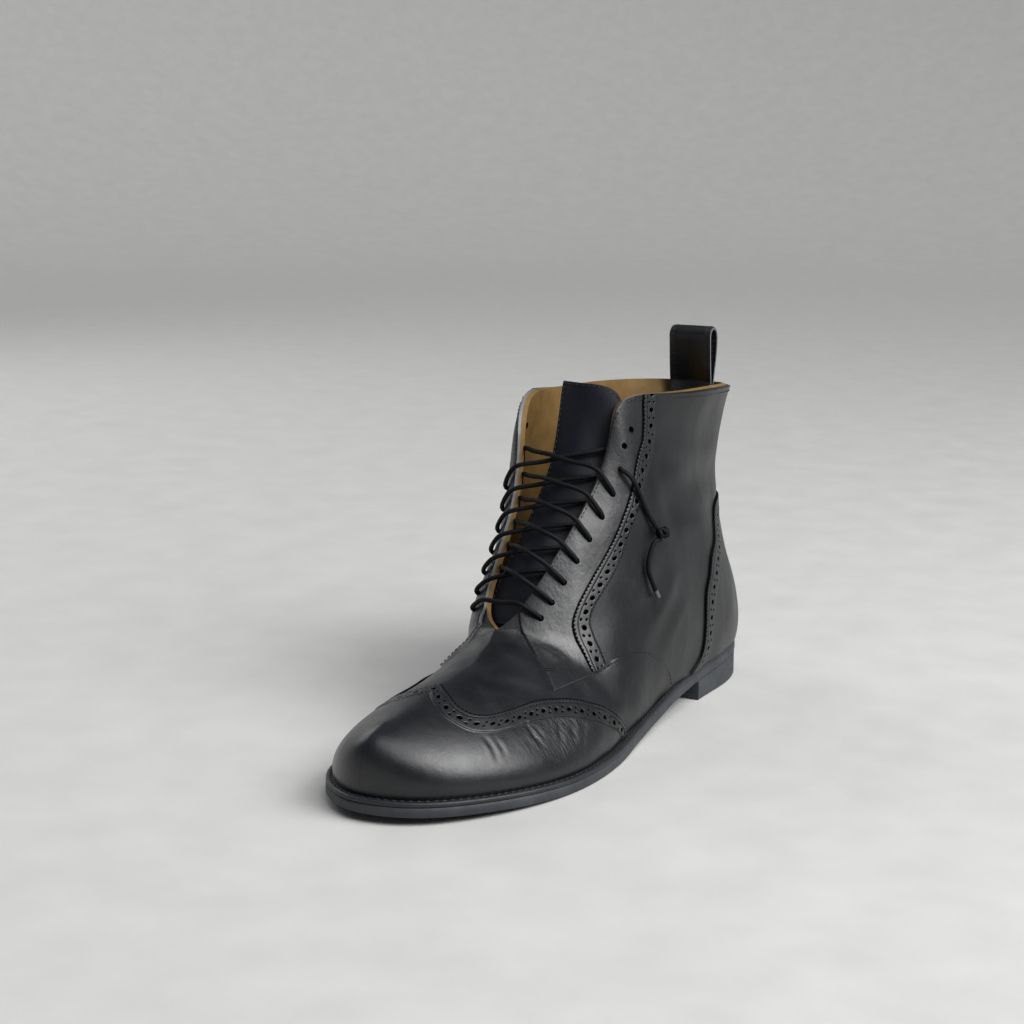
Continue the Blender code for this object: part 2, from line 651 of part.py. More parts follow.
def make_pull_loop(leather):
    """Strap folded over behind the collar, with both ends inside it and bent to its curve."""
    knots = np.arange(len(PULL_LOOP), dtype=float)
    at = np.linspace(0, len(PULL_LOOP) - 1, 22)
    forward = spline(knots, PULL_LOOP[:, 0], at) * LOOP_RISE
    up = spline(knots, PULL_LOOP[:, 1], at) * LOOP_RISE
    heights = np.linspace(0.7, 1.0, 20)
    depth = -UPPER_DEPTH - WALL - 2 * GAP - LOOP_THICKNESS / 2 - 0.0006
    wall = raised(LATERAL, np.ones(20), heights, depth)
    rim = wall[-1]
    beside = raised(LATERAL, np.array([0.975]), np.array([1.0]), depth)[0]
    bend = (rim[1] - beside[1]) / beside[0] ** 2
    height = rim[2] + up
    back = np.interp(height, wall[:, 2], wall[:, 1])
    centre = np.stack([back - forward, height], -1)
    run = np.gradient(centre, axis=0)
    run /= np.linalg.norm(run, axis=1)[:, None]
    turn = np.stack([-run[:, 1], run[:, 0]], -1) * LOOP_THICKNESS / 2
    across = np.linspace(-LOOP_WIDTH / 2, LOOP_WIDTH / 2, 5)
    sag = bend * np.clip(1 - up / LOOP_RISE, 0.2, 1)
    faces = []
    for offset in (turn, -turn):
        face = centre + offset
        columns = [np.stack([np.full(len(at), x), face[:, 0] - sag * x * x, face[:, 1]], -1) for x in across]
        faces.append(np.stack(columns, 1))
    return slab("pull_loop", [(faces[0], faces[0], faces[1], False)], leather)


ARCH = 0.004
STRAND_SIDES = 6

# Free end of the lace from the last laced eyelet, as s, v and height over the last in metres
LACE_END = (
    (0.693, 0.885, 0.0025),
    (0.698, 0.850, 0.0058),
    (0.698, 0.790, 0.0066),
    (0.695, 0.735, 0.0058),
    (0.693, 0.670, 0.0056),
    (0.6925, 0.626, 0.0060),
)
LACE_TAIL = (
    (0.6760, 0.600, 0.0062),
    (0.667, 0.610, 0.0058),
    (0.652, 0.598, 0.0052),
    (0.642, 0.565, 0.0048),
    (0.640, 0.535, 0.0044),
)
LACE_TIP = ((0.6399, 0.530, 0.0043), (0.640, 0.490, 0.0040))
KNOT_PLACE = (0.6905, 0.598, 0.0066)
KNOT_SIZE = (0.0075, 0.0062, 0.0060)
TIP_DIAMETER = 0.0024


def tube(name, points, diameter, material):
    """Closed round tube along the points."""
    run = np.gradient(points, axis=0)
    run /= np.linalg.norm(run, axis=1)[:, None]
    first = np.cross(run, np.array([0.3, 0.9, 0.3]))
    first /= np.linalg.norm(first, axis=1)[:, None]
    second = np.cross(run, first)
    angles = np.arange(STRAND_SIDES) * 2 * math.pi / STRAND_SIDES
    rings = [
        points[:, None] + (first[:, None] * np.cos(angles)[None, :, None]
                           + second[:, None] * np.sin(angles)[None, :, None]) * diameter / 2
    ][0]
    count, sides = rings.shape[:2]
    faces = []
    for i in range(count - 1):
        for j in range(sides):
            k = (j + 1) % sides
            faces.append((i * sides + j, i * sides + k, (i + 1) * sides + k, (i + 1) * sides + j))
    faces.append(tuple(range(sides)))
    faces.append(tuple((count - 1) * sides + j for j in range(sides)))
    return add_mesh(name, rings.reshape(-1, 3), faces, material)


def throat_edge(side, number, height, back=0.0):
    """Point over the facing's edge beside an eyelet, moved back towards the eyelet by a share of the way."""
    s = np.array(EYELET_S[number])
    v = np.array(1.0 - back * (1.0 - EYELET_V))
    return raised(side, s, v, height)


def make_laces(lace):
    clear = EYESTAY_TOP + LACE_DIAMETER / 2 + GAP
    outward = [throat_normal(s) for s in EYELET_S]

    def leaving(side, number):
        return [throat_edge(side, number, clear, 1.0), throat_edge(side, number, clear + 0.0004, 0.45),
                throat_edge(side, number, clear + 0.0004)]

    start, end = leaving(LATERAL, BAR_EYELET), leaving(MEDIAL, BAR_EYELET)
    middle = (start[-1] + end[-1]) / 2 + outward[BAR_EYELET] * 0.001
    tube("lace_bar", smooth_route(start + [middle] + end[::-1], 10), LACE_DIAMETER, lace)

    for number in range(BAR_EYELET - 1, LAST_LACED, -1):
        corners = [throat_edge(side, n, clear) for side in (LATERAL, MEDIAL) for n in (number, number - 1)]
        centre = sum(corners) / 4 + outward[number] * ARCH
        strands = []
        for side, word in ((LATERAL, "lateral"), (MEDIAL, "medial")):
            goal = throat_edge(-side, number - 1, -0.001)
            goal = goal + (centre - goal) * 0.16 - outward[number] * 0.0005
            route = smooth_route(leaving(side, number) + [centre, goal], 8)
            strands.append(tube(f"lace_cross_{number}_{word}", route, LACE_DIAMETER, lace))
        strands[0].name = f"lace_cross_{number}"
        strands[1].hide_render = True
        strands[1].display_type = "WIRE"
        join = strands[0].modifiers.new("join", "BOOLEAN")
        join.operation = "UNION"
        join.object = strands[1]


def on_quarter(row):
    s, v, height = row
    return raised(LATERAL, np.array(s), np.array(v), height)


def cord(name, route, diameter, count, material):
    """Curve with round section and filled caps through a smooth route."""
    points = smooth_route([on_quarter(row) for row in route], count)
    data = bpy.data.curves.new(name, "CURVE")
    data.dimensions = "3D"
    data.bevel_depth = diameter / 2
    data.bevel_resolution = 2
    data.use_fill_caps = True
    line = data.splines.new("POLY")
    line.points.add(count - 1)
    for target, point in zip(line.points, points):
        target.co = (*point, 1.0)
    data.materials.append(material)
    obj = bpy.data.objects.new(name, data)
    bpy.context.collection.objects.link(obj)
    return obj


def make_lace_end(lace, tip):
    """Free end of the lace: the run to its knot, the knot, and the tail with its tip."""
    cord("lace_end", LACE_END, LACE_DIAMETER, 16, lace)
    cord("lace_tail", LACE_TAIL, LACE_DIAMETER, 12, lace)
    cord("lace_tip", LACE_TIP, TIP_DIAMETER, 3, tip)
    bpy.ops.mesh.primitive_uv_sphere_add(segments=10, ring_count=6, radius=0.5, location=on_quarter(KNOT_PLACE))
    knot = bpy.context.active_object
    knot.name = "lace_knot"
    knot.scale = KNOT_SIZE
    knot.rotation_euler = (0.0, 0.0, math.radians(60))
    knot.data.materials.append(lace)


def main():
    for obj in list(bpy.data.objects):
        bpy.data.objects.remove(obj)
    leather = make_material("black_leather", (0.018, 0.019, 0.023), 0.38)
    tan = make_material("tan_lining", (0.42, 0.25, 0.10), 0.6)
    rubber = make_material("sole_rubber", (0.06, 0.065, 0.075), 0.65)
    dark_rubber = make_material("welt_dark", (0.02, 0.021, 0.025), 0.5)
    lace = make_material("lace", (0.012, 0.012, 0.014), 0.6)
    tip = make_material("lace_tip", (0.30, 0.30, 0.31), 0.35)
    upper = make_upper(tan)
    eyestays = make_panels(leather)
    punch_eyelets(upper, eyestays)
    make_sole(rubber, dark_rubber, tan)
    make_tongue(leather)
    make_pull_loop(leather)
    make_laces(lace)
    make_lace_end(lace, tip)


main()
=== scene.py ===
"""Looks of the left brogue boot: black leather panels with pinked, punched strips, stitches, laces and sole.

A place on the upper is given by s, the share of the way from toe to heel, and v, the share of the way up
a rib from the feather line to the top line. The toe points to -Y and the wearer's left is +X.
"""

import math

import bmesh
import bpy
import numpy as np
from mathutils import Matrix, Vector


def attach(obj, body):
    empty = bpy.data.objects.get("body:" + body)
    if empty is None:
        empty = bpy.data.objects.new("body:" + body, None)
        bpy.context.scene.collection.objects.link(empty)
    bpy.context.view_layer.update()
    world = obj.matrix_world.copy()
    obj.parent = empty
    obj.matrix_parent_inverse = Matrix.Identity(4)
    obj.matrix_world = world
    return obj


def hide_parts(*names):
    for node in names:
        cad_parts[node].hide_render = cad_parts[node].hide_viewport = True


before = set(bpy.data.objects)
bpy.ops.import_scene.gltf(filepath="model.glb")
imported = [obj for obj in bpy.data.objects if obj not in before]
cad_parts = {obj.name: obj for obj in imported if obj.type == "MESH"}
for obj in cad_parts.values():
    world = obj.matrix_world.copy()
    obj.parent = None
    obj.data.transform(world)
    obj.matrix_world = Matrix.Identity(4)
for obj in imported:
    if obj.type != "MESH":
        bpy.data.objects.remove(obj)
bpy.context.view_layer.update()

# Driving dimensions in metres, the same as the solids have
LENGTH = 0.302
BALL_WIDTH = 0.108
HEEL_WIDTH = 0.074
COLLAR_WIDTH = 0.070
COLLAR_RISE = 0.127
SOLE_THICKNESS = 0.0066
WELT_THICKNESS = 0.0018
HEEL_HEIGHT = 0.0142
HEEL_LENGTH = 0.076
TOE_SPRING = 0.0037
WELT_WIDTH = 0.0042
HEEL_SEAT_STEP = 0.0012
WALL = 0.0020
UPPER_DEPTH = 0.0016
TONGUE_THICKNESS = 0.0018
EYELET_DIAMETER = 0.0032
LOOP_WIDTH = 0.023
LOOP_THICKNESS = 0.0020
LOOP_RISE = 0.0275
GAP = 0.0003

# Middle of the whole boot, from the middle of the ball and from the heel's back
CENTRE_SIDE = 0.0003
CENTRE_ALONG = 0.1499

LATERAL, MEDIAL = 1, -1

# Share of the length from the heel, and the shares of heel height and toe spring under the sole there
SOLE_PROFILE = np.array([
    # along, heel, toe
    (0.00, 1.00, 0.00),
    (0.25, 0.70, 0.00),
    (0.34, 0.56, 0.00),
    (0.43, 0.32, 0.00),
    (0.53, 0.10, 0.00),
    (0.61, 0.00, 0.00),
    (0.73, 0.00, 0.00),
    (0.82, 0.00, 0.30),
    (0.90, 0.00, 0.65),
    (1.00, 0.00, 1.00),
])

# Share of the length from the heel, and the share of the welt's width that stands out there
WELT_SHARE = np.array([(0.0, 0.0), (0.25, 0.1), (0.42, 1.0), (1.0, 1.0)])

# One row for each rib, from toe to heel. foot_along and top_along are shares of LENGTH; foot_side and
# the two outs are shares of half BALL_WIDTH, top_side of half COLLAR_WIDTH, and the heights of COLLAR_RISE.
FOOT_ALONG, FOOT_SIDE, TOP_ALONG, TOP_SIDE, TOP_UP, LOW_OUT, LOW_UP, HIGH_OUT, HIGH_DROP = range(9)
RIBS = {
    LATERAL: np.array([
        (1.000, -0.16, 0.939, -0.20, 0.212, 0.04, 0.11, 0.27, 0.00),
        (0.979, 0.27, 0.916, -0.16, 0.225, 0.06, 0.11, 0.28, 0.00),
        (0.910, 0.63, 0.860, -0.12, 0.262, 0.06, 0.10, 0.33, 0.00),
        (0.801, 0.89, 0.779, -0.10, 0.302, 0.05, 0.11, 0.37, 0.01),
        (0.685, 0.97, 0.695, -0.17, 0.338, 0.05, 0.12, 0.43, 0.02),
        (0.581, 0.91, 0.634, -0.28, 0.388, 0.05, 0.14, 0.53, 0.06),
        (0.512, 0.84, 0.604, -0.07, 0.452, 0.06, 0.17, 0.47, 0.10),
        (0.420, 0.77, 0.525, 0.19, 0.658, 0.08, 0.22, 0.35, 0.15),
        (0.304, 0.71, 0.432, 0.36, 0.922, 0.11, 0.28, 0.33, 0.20),
        (0.209, 0.68, 0.397, 0.43, 1.098, 0.14, 0.32, 0.20, 0.27),
        (0.119, 0.65, 0.300, 0.74, 1.088, 0.15, 0.33, -0.09, 0.34),
        (0.036, 0.46, 0.151, 0.87, 1.050, 0.14, 0.32, -0.41, 0.40),
        (0.0098, 0.256, 0.049, 0.61, 1.018, 0.145, 0.325, -0.40, 0.41),
        (0.000, 0.00, 0.008, 0.00, 1.002, 0.15, 0.33, -0.30, 0.42),
    ]),
    MEDIAL: np.array([
        (1.000, -0.16, 0.939, -0.20, 0.212, 0.04, 0.11, 0.27, 0.00),
        (0.967, -0.56, 0.916, -0.16, 0.225, 0.06, 0.11, 0.27, 0.00),
        (0.889, -0.84, 0.860, -0.12, 0.262, 0.05, 0.10, 0.32, 0.00),
        (0.776, -0.96, 0.779, -0.10, 0.302, 0.05, 0.10, 0.37, 0.01),
        (0.663, -0.91, 0.695, -0.17, 0.338, 0.05, 0.12, 0.43, 0.02),
        (0.566, -0.74, 0.634, -0.28, 0.388, 0.05, 0.14, 0.53, 0.05),
        (0.499, -0.62, 0.600, -0.62, 0.444, 0.06, 0.17, 0.47, 0.10),
        (0.409, -0.56, 0.529, -0.71, 0.652, 0.08, 0.22, 0.34, 0.15),
        (0.296, -0.60, 0.456, -0.86, 0.916, 0.11, 0.28, 0.31, 0.20),
        (0.205, -0.66, 0.405, -1.04, 1.088, 0.14, 0.32, 0.19, 0.27),
        (0.114, -0.65, 0.302, -1.12, 1.078, 0.15, 0.33, -0.07, 0.34),
        (0.034, -0.46, 0.147, -0.95, 1.040, 0.14, 0.32, -0.40, 0.40),
        (0.0092, -0.256, 0.049, -0.65, 1.014, 0.145, 0.325, -0.40, 0.41),
        (0.000, 0.00, 0.008, 0.00, 1.002, 0.15, 0.33, -0.30, 0.42),
    ]),
}
THROAT_ROW = 5

# Heights of the outer faces over the last's surface, in metres
VAMP_TOP = 0.0
VAMP_TAB_TOP = 0.0016
WING_TOP = 0.0008
EYESTAY_TOP = 0.0007
QUARTER_TOP = 0.0011
COUNTER_TOP = 0.0018
SHELL_TOP = 0.0006 - UPPER_DEPTH
PANEL_BACK = 0.0005 - UPPER_DEPTH

# Eyelets from the collar down, as shares along the top line, and their share of the way up the ribs
EYELET_S = (0.765, 0.729, 0.693, 0.661, 0.632, 0.605, 0.580, 0.556, 0.532, 0.508)
EYELET_V = 0.885
BAR_EYELET = 9
LAST_LACED = 2


def spline(knots, values, at, flat_start=False, flat_end=False):
    """Cubic spline through values at the knots. A flat end is level, another runs out straight."""
    count = len(knots)
    step = np.diff(knots)
    slope = np.diff(values) / step
    matrix = np.zeros((count, count))
    right = np.zeros(count)
    matrix[0, :2] = (1.0, 0.0) if flat_start else (2.0, 1.0)
    right[0] = 0.0 if flat_start else 3.0 * slope[0]
    matrix[-1, -2:] = (0.0, 1.0) if flat_end else (1.0, 2.0)
    right[-1] = 0.0 if flat_end else 3.0 * slope[-1]
    for i in range(1, count - 1):
        matrix[i, i - 1:i + 2] = (step[i], 2.0 * (step[i - 1] + step[i]), step[i - 1])
        right[i] = 3.0 * (step[i] * slope[i - 1] + step[i - 1] * slope[i])
    return hermite(knots, values, np.linalg.solve(matrix, right), at)


def monotone(knots, values, at):
    """Curve through values at the knots that never swings past them."""
    step = np.diff(knots)
    slope = np.diff(values) / step
    tangent = np.zeros(len(knots))
    for i in range(1, len(knots) - 1):
        if slope[i - 1] * slope[i] > 0:
            tangent[i] = 2.0 / (1.0 / slope[i - 1] + 1.0 / slope[i])
    tangent[0] = slope[0]
    tangent[-1] = slope[-1]
    return hermite(knots, values, tangent, np.clip(at, knots[0], knots[-1]))


def hermite(knots, values, tangent, at):
    i = np.clip(np.searchsorted(knots, at, side="right") - 1, 0, len(knots) - 2)
    step = knots[i + 1] - knots[i]
    t = (at - knots[i]) / step
    ends = values[i] * (1 + 2 * t) * (1 - t) ** 2 + values[i + 1] * t * t * (3 - 2 * t)
    return ends + step * (tangent[i] * t * (1 - t) ** 2 - tangent[i + 1] * t * t * (1 - t))


def lift(along):
    """Height of the sole's underside over the floor, heel left out."""
    share = np.clip(np.asarray(along) / LENGTH, 0, 1)
    heel = monotone(SOLE_PROFILE[:, 0], SOLE_PROFILE[:, 1], share)
    toe = monotone(SOLE_PROFILE[:, 0], SOLE_PROFILE[:, 2], share)
    return HEEL_HEIGHT * heel + TOE_SPRING * toe


def rib_knots():
    """Share of the way from toe to heel at each row of the tables, the same on both sides."""
    steps = 0
    for table in RIBS.values():
        across = np.diff(table[:, FOOT_SIDE] * BALL_WIDTH / 2)
        steps = steps + np.hypot(across, np.diff(table[:, FOOT_ALONG] * LENGTH))
    knots = np.concatenate([[0.0], np.cumsum(steps)])
    return knots / knots[-1]


KNOTS = rib_knots()


def outline(side, s, inset=0.0):
    """Edge of the sole moved inwards by inset, with the outward direction there."""
    def edge(at):
        table = RIBS[side]
        heel_share = 1 - np.clip((table[:, FOOT_ALONG] - 0.30) / 0.35, 0, 1)
        heel_scale = HEEL_WIDTH / (0.685 * BALL_WIDTH)
        across = table[:, FOOT_SIDE] * BALL_WIDTH / 2 * (1 + heel_share * (heel_scale - 1))
        return spline(KNOTS, across, at), spline(KNOTS, table[:, FOOT_ALONG] * LENGTH, at, True, True)

    s = np.asarray(s, float)
    x, along = edge(s)
    before = edge(np.clip(s - 1e-4, 0, 1))
    after = edge(np.clip(s + 1e-4, 0, 1))
    run = np.hypot(after[0] - before[0], after[1] - before[1])
    out_x = -(after[1] - before[1]) / run * side
    out_along = (after[0] - before[0]) / run * side
    return x - out_x * inset, along - out_along * inset, out_x, out_along


def ribs(side, s):
    """Foot, lower handle, upper handle and top of the rib at each s, as side, along and up."""
    _, edge_along, _, _ = outline(side, s)
    welt_share = monotone(*WELT_SHARE.T, edge_along / LENGTH)
    inset = HEEL_SEAT_STEP + (WELT_WIDTH - HEEL_SEAT_STEP) * welt_share
    x, along, out_x, out_along = outline(side, s, inset)
    foot = np.stack([x, along, lift(along) + SOLE_THICKNESS + GAP], -1)

    def column(index, flat_end=True):
        return spline(KNOTS, RIBS[side][:, index], s, True, flat_end)

    top = top_line(side, s)
    low = column(LOW_OUT) * BALL_WIDTH / 2
    lower = foot + np.stack([out_x * low, out_along * low, column(LOW_UP) * COLLAR_RISE], -1)
    high = column(HIGH_OUT) * BALL_WIDTH / 2
    upper = top + np.stack([out_x * high, out_along * high, -column(HIGH_DROP) * COLLAR_RISE], -1)
    on_ridge = np.clip((KNOTS[THROAT_ROW] - s) / 0.06, 0, 1)
    upper[:, 2] -= out_along * high * ridge_slope(side, s) * on_ridge
    return foot, lower, upper, top


def top_line(side, s):
    """End of the ribs: the ridge up to the throat, which both sides share, then throat and collar."""
    table = RIBS[side]
    split = THROAT_ROW + 1

    def column(index, flat_end=True):
        ridge = spline(KNOTS[:split], table[:split, index], s, True)
        edge = spline(KNOTS[THROAT_ROW:], table[THROAT_ROW:, index], s, False, flat_end)
        return np.where(s <= KNOTS[THROAT_ROW], ridge, edge)

    along = column(TOP_ALONG) * LENGTH
    up = lift(along) + SOLE_THICKNESS + column(TOP_UP) * COLLAR_RISE
    return np.stack([column(TOP_SIDE, False) * COLLAR_WIDTH / 2, along, up], -1)


def ridge_slope(side, s):
    """Fall of the ridge per metre towards the toe."""
    near = np.clip(s, 0.02, 1.0)
    before = top_line(side, near - 0.01)
    after = top_line(side, near + 0.01)
    run = np.minimum(after[:, 1] - before[:, 1], -1e-5)
    return np.clip((before[:, 2] - after[:, 2]) / run, 0, 1)


def built_last(side, s, v):
    """Point of the last's surface at s and v."""
    s = np.asarray(s, float)
    v = np.asarray(v, float)
    foot, lower, upper, top = (part.reshape(s.shape + (3,)) for part in ribs(side, s.ravel()))
    v = v[..., None]
    point = (1 - v) ** 3 * foot + 3 * (1 - v) ** 2 * v * lower + 3 * (1 - v) * v * v * upper + v ** 3 * top
    return place(point)


# Easing of the bend where the vamp turns up into the shaft, as shares of the way from toe to heel
EASE_REACH = 0.046
EASE_SPAN = 0.046
EASE_TAPS = ((-1.0, 0.1), (-0.6, 0.2), (-0.2, 0.2), (0.2, 0.2), (0.6, 0.2), (1.0, 0.1))


def on_last(side, s, v):
    """Point of the last, with the bend in front of the shaft eased away from the throat's edge."""
    s, v = np.broadcast_arrays(np.asarray(s, float), np.asarray(v, float))
    points = built_last(side, s, v)
    off_throat = np.clip((0.985 - v) / 0.12, 0, 1)
    reach = EASE_REACH * np.exp(-((s - KNOTS[THROAT_ROW]) / EASE_SPAN) ** 2) * off_throat
    near = reach > 0.001
    if near.any():
        points[near] = sum(
            share * built_last(side, s[near] + reach[near] * step, v[near]) for step, share in EASE_TAPS
        )
    return points


def place(point):
    """Side, along and up turned into the object's X, Y and Z."""
    return np.stack([point[..., 0] - CENTRE_SIDE, CENTRE_ALONG - point[..., 1], point[..., 2]], -1)


def normal_on_last(side, s, v):
    """Outward direction of the last's surface, level at the feather line."""
    s = np.clip(s, 0.004, 0.996)
    v_in = np.clip(v, 0.004, 0.996)
    along = on_last(side, s + 0.003, v_in) - on_last(side, s - 0.003, v_in)
    up = on_last(side, s, v_in + 0.003) - on_last(side, s, v_in - 0.003)
    normal = np.cross(along, up) * side
    normal[..., 2] *= np.clip(v / 0.12, 0, 1)
    return normal / np.linalg.norm(normal, axis=-1, keepdims=True)


def raised(side, s, v, height):
    """Point at a height over the last's surface."""
    height = np.broadcast_to(np.asarray(height, float), np.shape(s))
    return on_last(side, s, v) + normal_on_last(side, s, v) * height[..., None]


def grid_faces(rows, columns, flip):
    """Quads of a grid of points numbered row by row."""
    faces = []
    for i in range(rows - 1):
        for j in range(columns - 1):
            a = i * columns + j
            quad = (a, a + 1, a + columns + 1, a + columns)
            faces.append(quad[::-1] if flip else quad)
    return faces


def tube_faces(rings, count, first=0):
    """Quads between closed rings of points numbered ring by ring from first."""
    faces = []
    for ring in range(rings - 1):
        for i in range(count):
            a = first + ring * count + i
            b = first + ring * count + (i + 1) % count
            faces.append((a, b, b + count, a + count))
    return faces


def steps_along(points):
    return np.linalg.norm(np.diff(points, axis=0), axis=1)


def run_along(points):
    """Length along a line at each of its points."""
    return np.concatenate([[0.0], np.cumsum(steps_along(points))])


def smooth_route(points, count):
    """Points spaced along a smooth curve through the route."""
    points = np.array(points, float)
    run = run_along(points)
    at = np.linspace(0, run[-1], count)
    return np.stack([spline(run, points[:, axis], at) for axis in range(3)], -1)


# Tongue, a row for each place from its root to its top. share is how far its free edge stands out from the
# medial facing's edge over the throat's gap, or behind that facing where it is under 0.
TONGUE = np.array([
    # s, share, crown in metres, rise in metres
    (0.475, -0.08, 0.0004, 0.0000),
    (0.530, -0.06, 0.0012, 0.0000),
    (0.580, 0.06, 0.0018, 0.0000),
    (0.630, 0.18, 0.0024, 0.0000),
    (0.680, 0.28, 0.0028, 0.0000),
    (0.730, 0.33, 0.0030, 0.0010),
    (0.765, 0.36, 0.0030, 0.0070),
])
TONGUE_CLEAR = 0.0009


def throat_normal(s):
    """Direction out of the boot over the throat at s."""
    outward = sum(normal_on_last(side, s, 0.98) for side in (LATERAL, MEDIAL))
    return outward / np.linalg.norm(outward)


# Camera, fitted to the photograph
CAMERA_PLACE = (0.42724, -0.75522, 0.2743)
CAMERA_AZIMUTH = 30.99
CAMERA_ELEVATION = 11.13
CAMERA_LENS = 67.44


def new_object(name, data):
    obj = bpy.data.objects.new(name, data)
    bpy.context.scene.collection.objects.link(obj)
    return obj


def from_direction(azimuth, elevation, distance=1.0):
    """Place at a distance, with azimuth counted from the toe towards the outer side."""
    turn, tilt = math.radians(azimuth), math.radians(elevation)
    level = distance * math.cos(tilt)
    return Vector((level * math.sin(turn), -level * math.cos(turn), distance * math.sin(tilt)))


def aim(obj, direction):
    obj.rotation_mode = "QUATERNION"
    obj.rotation_quaternion = direction.to_track_quat("-Z", "Y")


def make_camera():
    data = bpy.data.cameras.new("camera")
    data.sensor_width = 36.0
    data.lens = CAMERA_LENS
    camera = new_object("camera", data)
    camera.location = CAMERA_PLACE
    aim(camera, -from_direction(CAMERA_AZIMUTH, CAMERA_ELEVATION))
    bpy.context.scene.camera = camera


# Materials


class Graph:
    """Short way to lay out a material's nodes."""

    def __init__(self, name):
        self.material = bpy.data.materials.new(name)
        self.material.use_nodes = True
        self.tree = self.material.node_tree
        self.shader = self.tree.nodes["Principled BSDF"]
        self.place = self.node("ShaderNodeTexCoord").outputs["Object"]

    def node(self, kind, **values):
        node = self.tree.nodes.new(kind)
        for key, value in values.items():
            setattr(node, key, value)
        return node

    def link(self, source, target):
        self.tree.links.new(source, target)

    def scaled(self, scale):
        mapping = self.node("ShaderNodeMapping")
        mapping.inputs["Scale"].default_value = scale if hasattr(scale, "__len__") else (scale,) * 3
        self.link(self.place, mapping.inputs["Vector"])
        return mapping.outputs["Vector"]

    def noise(self, scale, detail=3.0, roughness=0.55):
        node = self.node("ShaderNodeTexNoise")
        node.inputs["Scale"].default_value = 1.0
        node.inputs["Detail"].default_value = detail
        node.inputs["Roughness"].default_value = roughness
        self.link(self.scaled(scale), node.inputs["Vector"])
        return node.outputs["Fac"]

    def cells(self, scale):
        node = self.node("ShaderNodeTexVoronoi", feature="DISTANCE_TO_EDGE")
        node.inputs["Scale"].default_value = 1.0
        self.link(self.scaled(scale), node.inputs["Vector"])
        return node.outputs["Distance"]

    def math(self, operation, a, b=0.0):
        node = self.node("ShaderNodeMath", operation=operation)
        for socket, value in zip(node.inputs, (a, b)):
            if isinstance(value, (int, float)):
                socket.default_value = value
            else:
                self.link(value, socket)
        return node.outputs[0]

    def ranged(self, value, low, high, to_low, to_high):
        node = self.node("ShaderNodeMapRange")
        self.link(value, node.inputs["Value"])
        limits = {"From Min": low, "From Max": high, "To Min": to_low, "To Max": to_high}
        for key, number in limits.items():
            node.inputs[key].default_value = number
        return node.outputs["Result"]

    def mixed(self, factor, first, second):
        node = self.node("ShaderNodeMix", data_type="RGBA")
        self.link(factor, node.inputs["Factor"])
        for socket, value in ((node.inputs[6], first), (node.inputs[7], second)):
            if isinstance(value, tuple):
                socket.default_value = (*value, 1.0)
            else:
                self.link(value, socket)
        return node.outputs[2]

    def bump(self, height, strength, distance, onto=None):
        node = self.node("ShaderNodeBump")
        node.inputs["Strength"].default_value = strength
        node.inputs["Distance"].default_value = distance
        self.link(height, node.inputs["Height"])
        if onto is not None:
            self.link(onto, node.inputs["Normal"])
        return node.outputs["Normal"]

    def finish(self, colour, roughness, normal):
        self.link(colour, self.shader.inputs["Base Color"])
        self.link(roughness, self.shader.inputs["Roughness"])
        self.link(normal, self.shader.inputs["Normal"])
        return self.material


# Holes of a punched strip, in millimetres
HOLE_PITCH = 7.6
LARGE_HOLE = 1.15
SMALL_HOLE = 0.55
SMALL_HOLE_SIDE = 1.5
HOLE_BLUR = 0.10
HOLE_SLOPE = 0.12
# Painted shade: the near-black colour given to the holes and the sewn grooves, where shade falls
HOLE_SHADE_COLOUR = (0.0005, 0.0005, 0.0006)

# Half width of the painted shade's dark core along a sewn groove and the reach of its fade, in metres
GROOVE_CORE = 0.00012
GROOVE_REACH = 0.00045

# Middle and reach of the fine wrinkles beside the ball, in metres
WRINKLE_PLACE = (0.030, -0.060, 0.030)
WRINKLE_REACH = 0.040

PORE_STRENGTH = 0.12
COAT_ROUGHNESS = 0.24


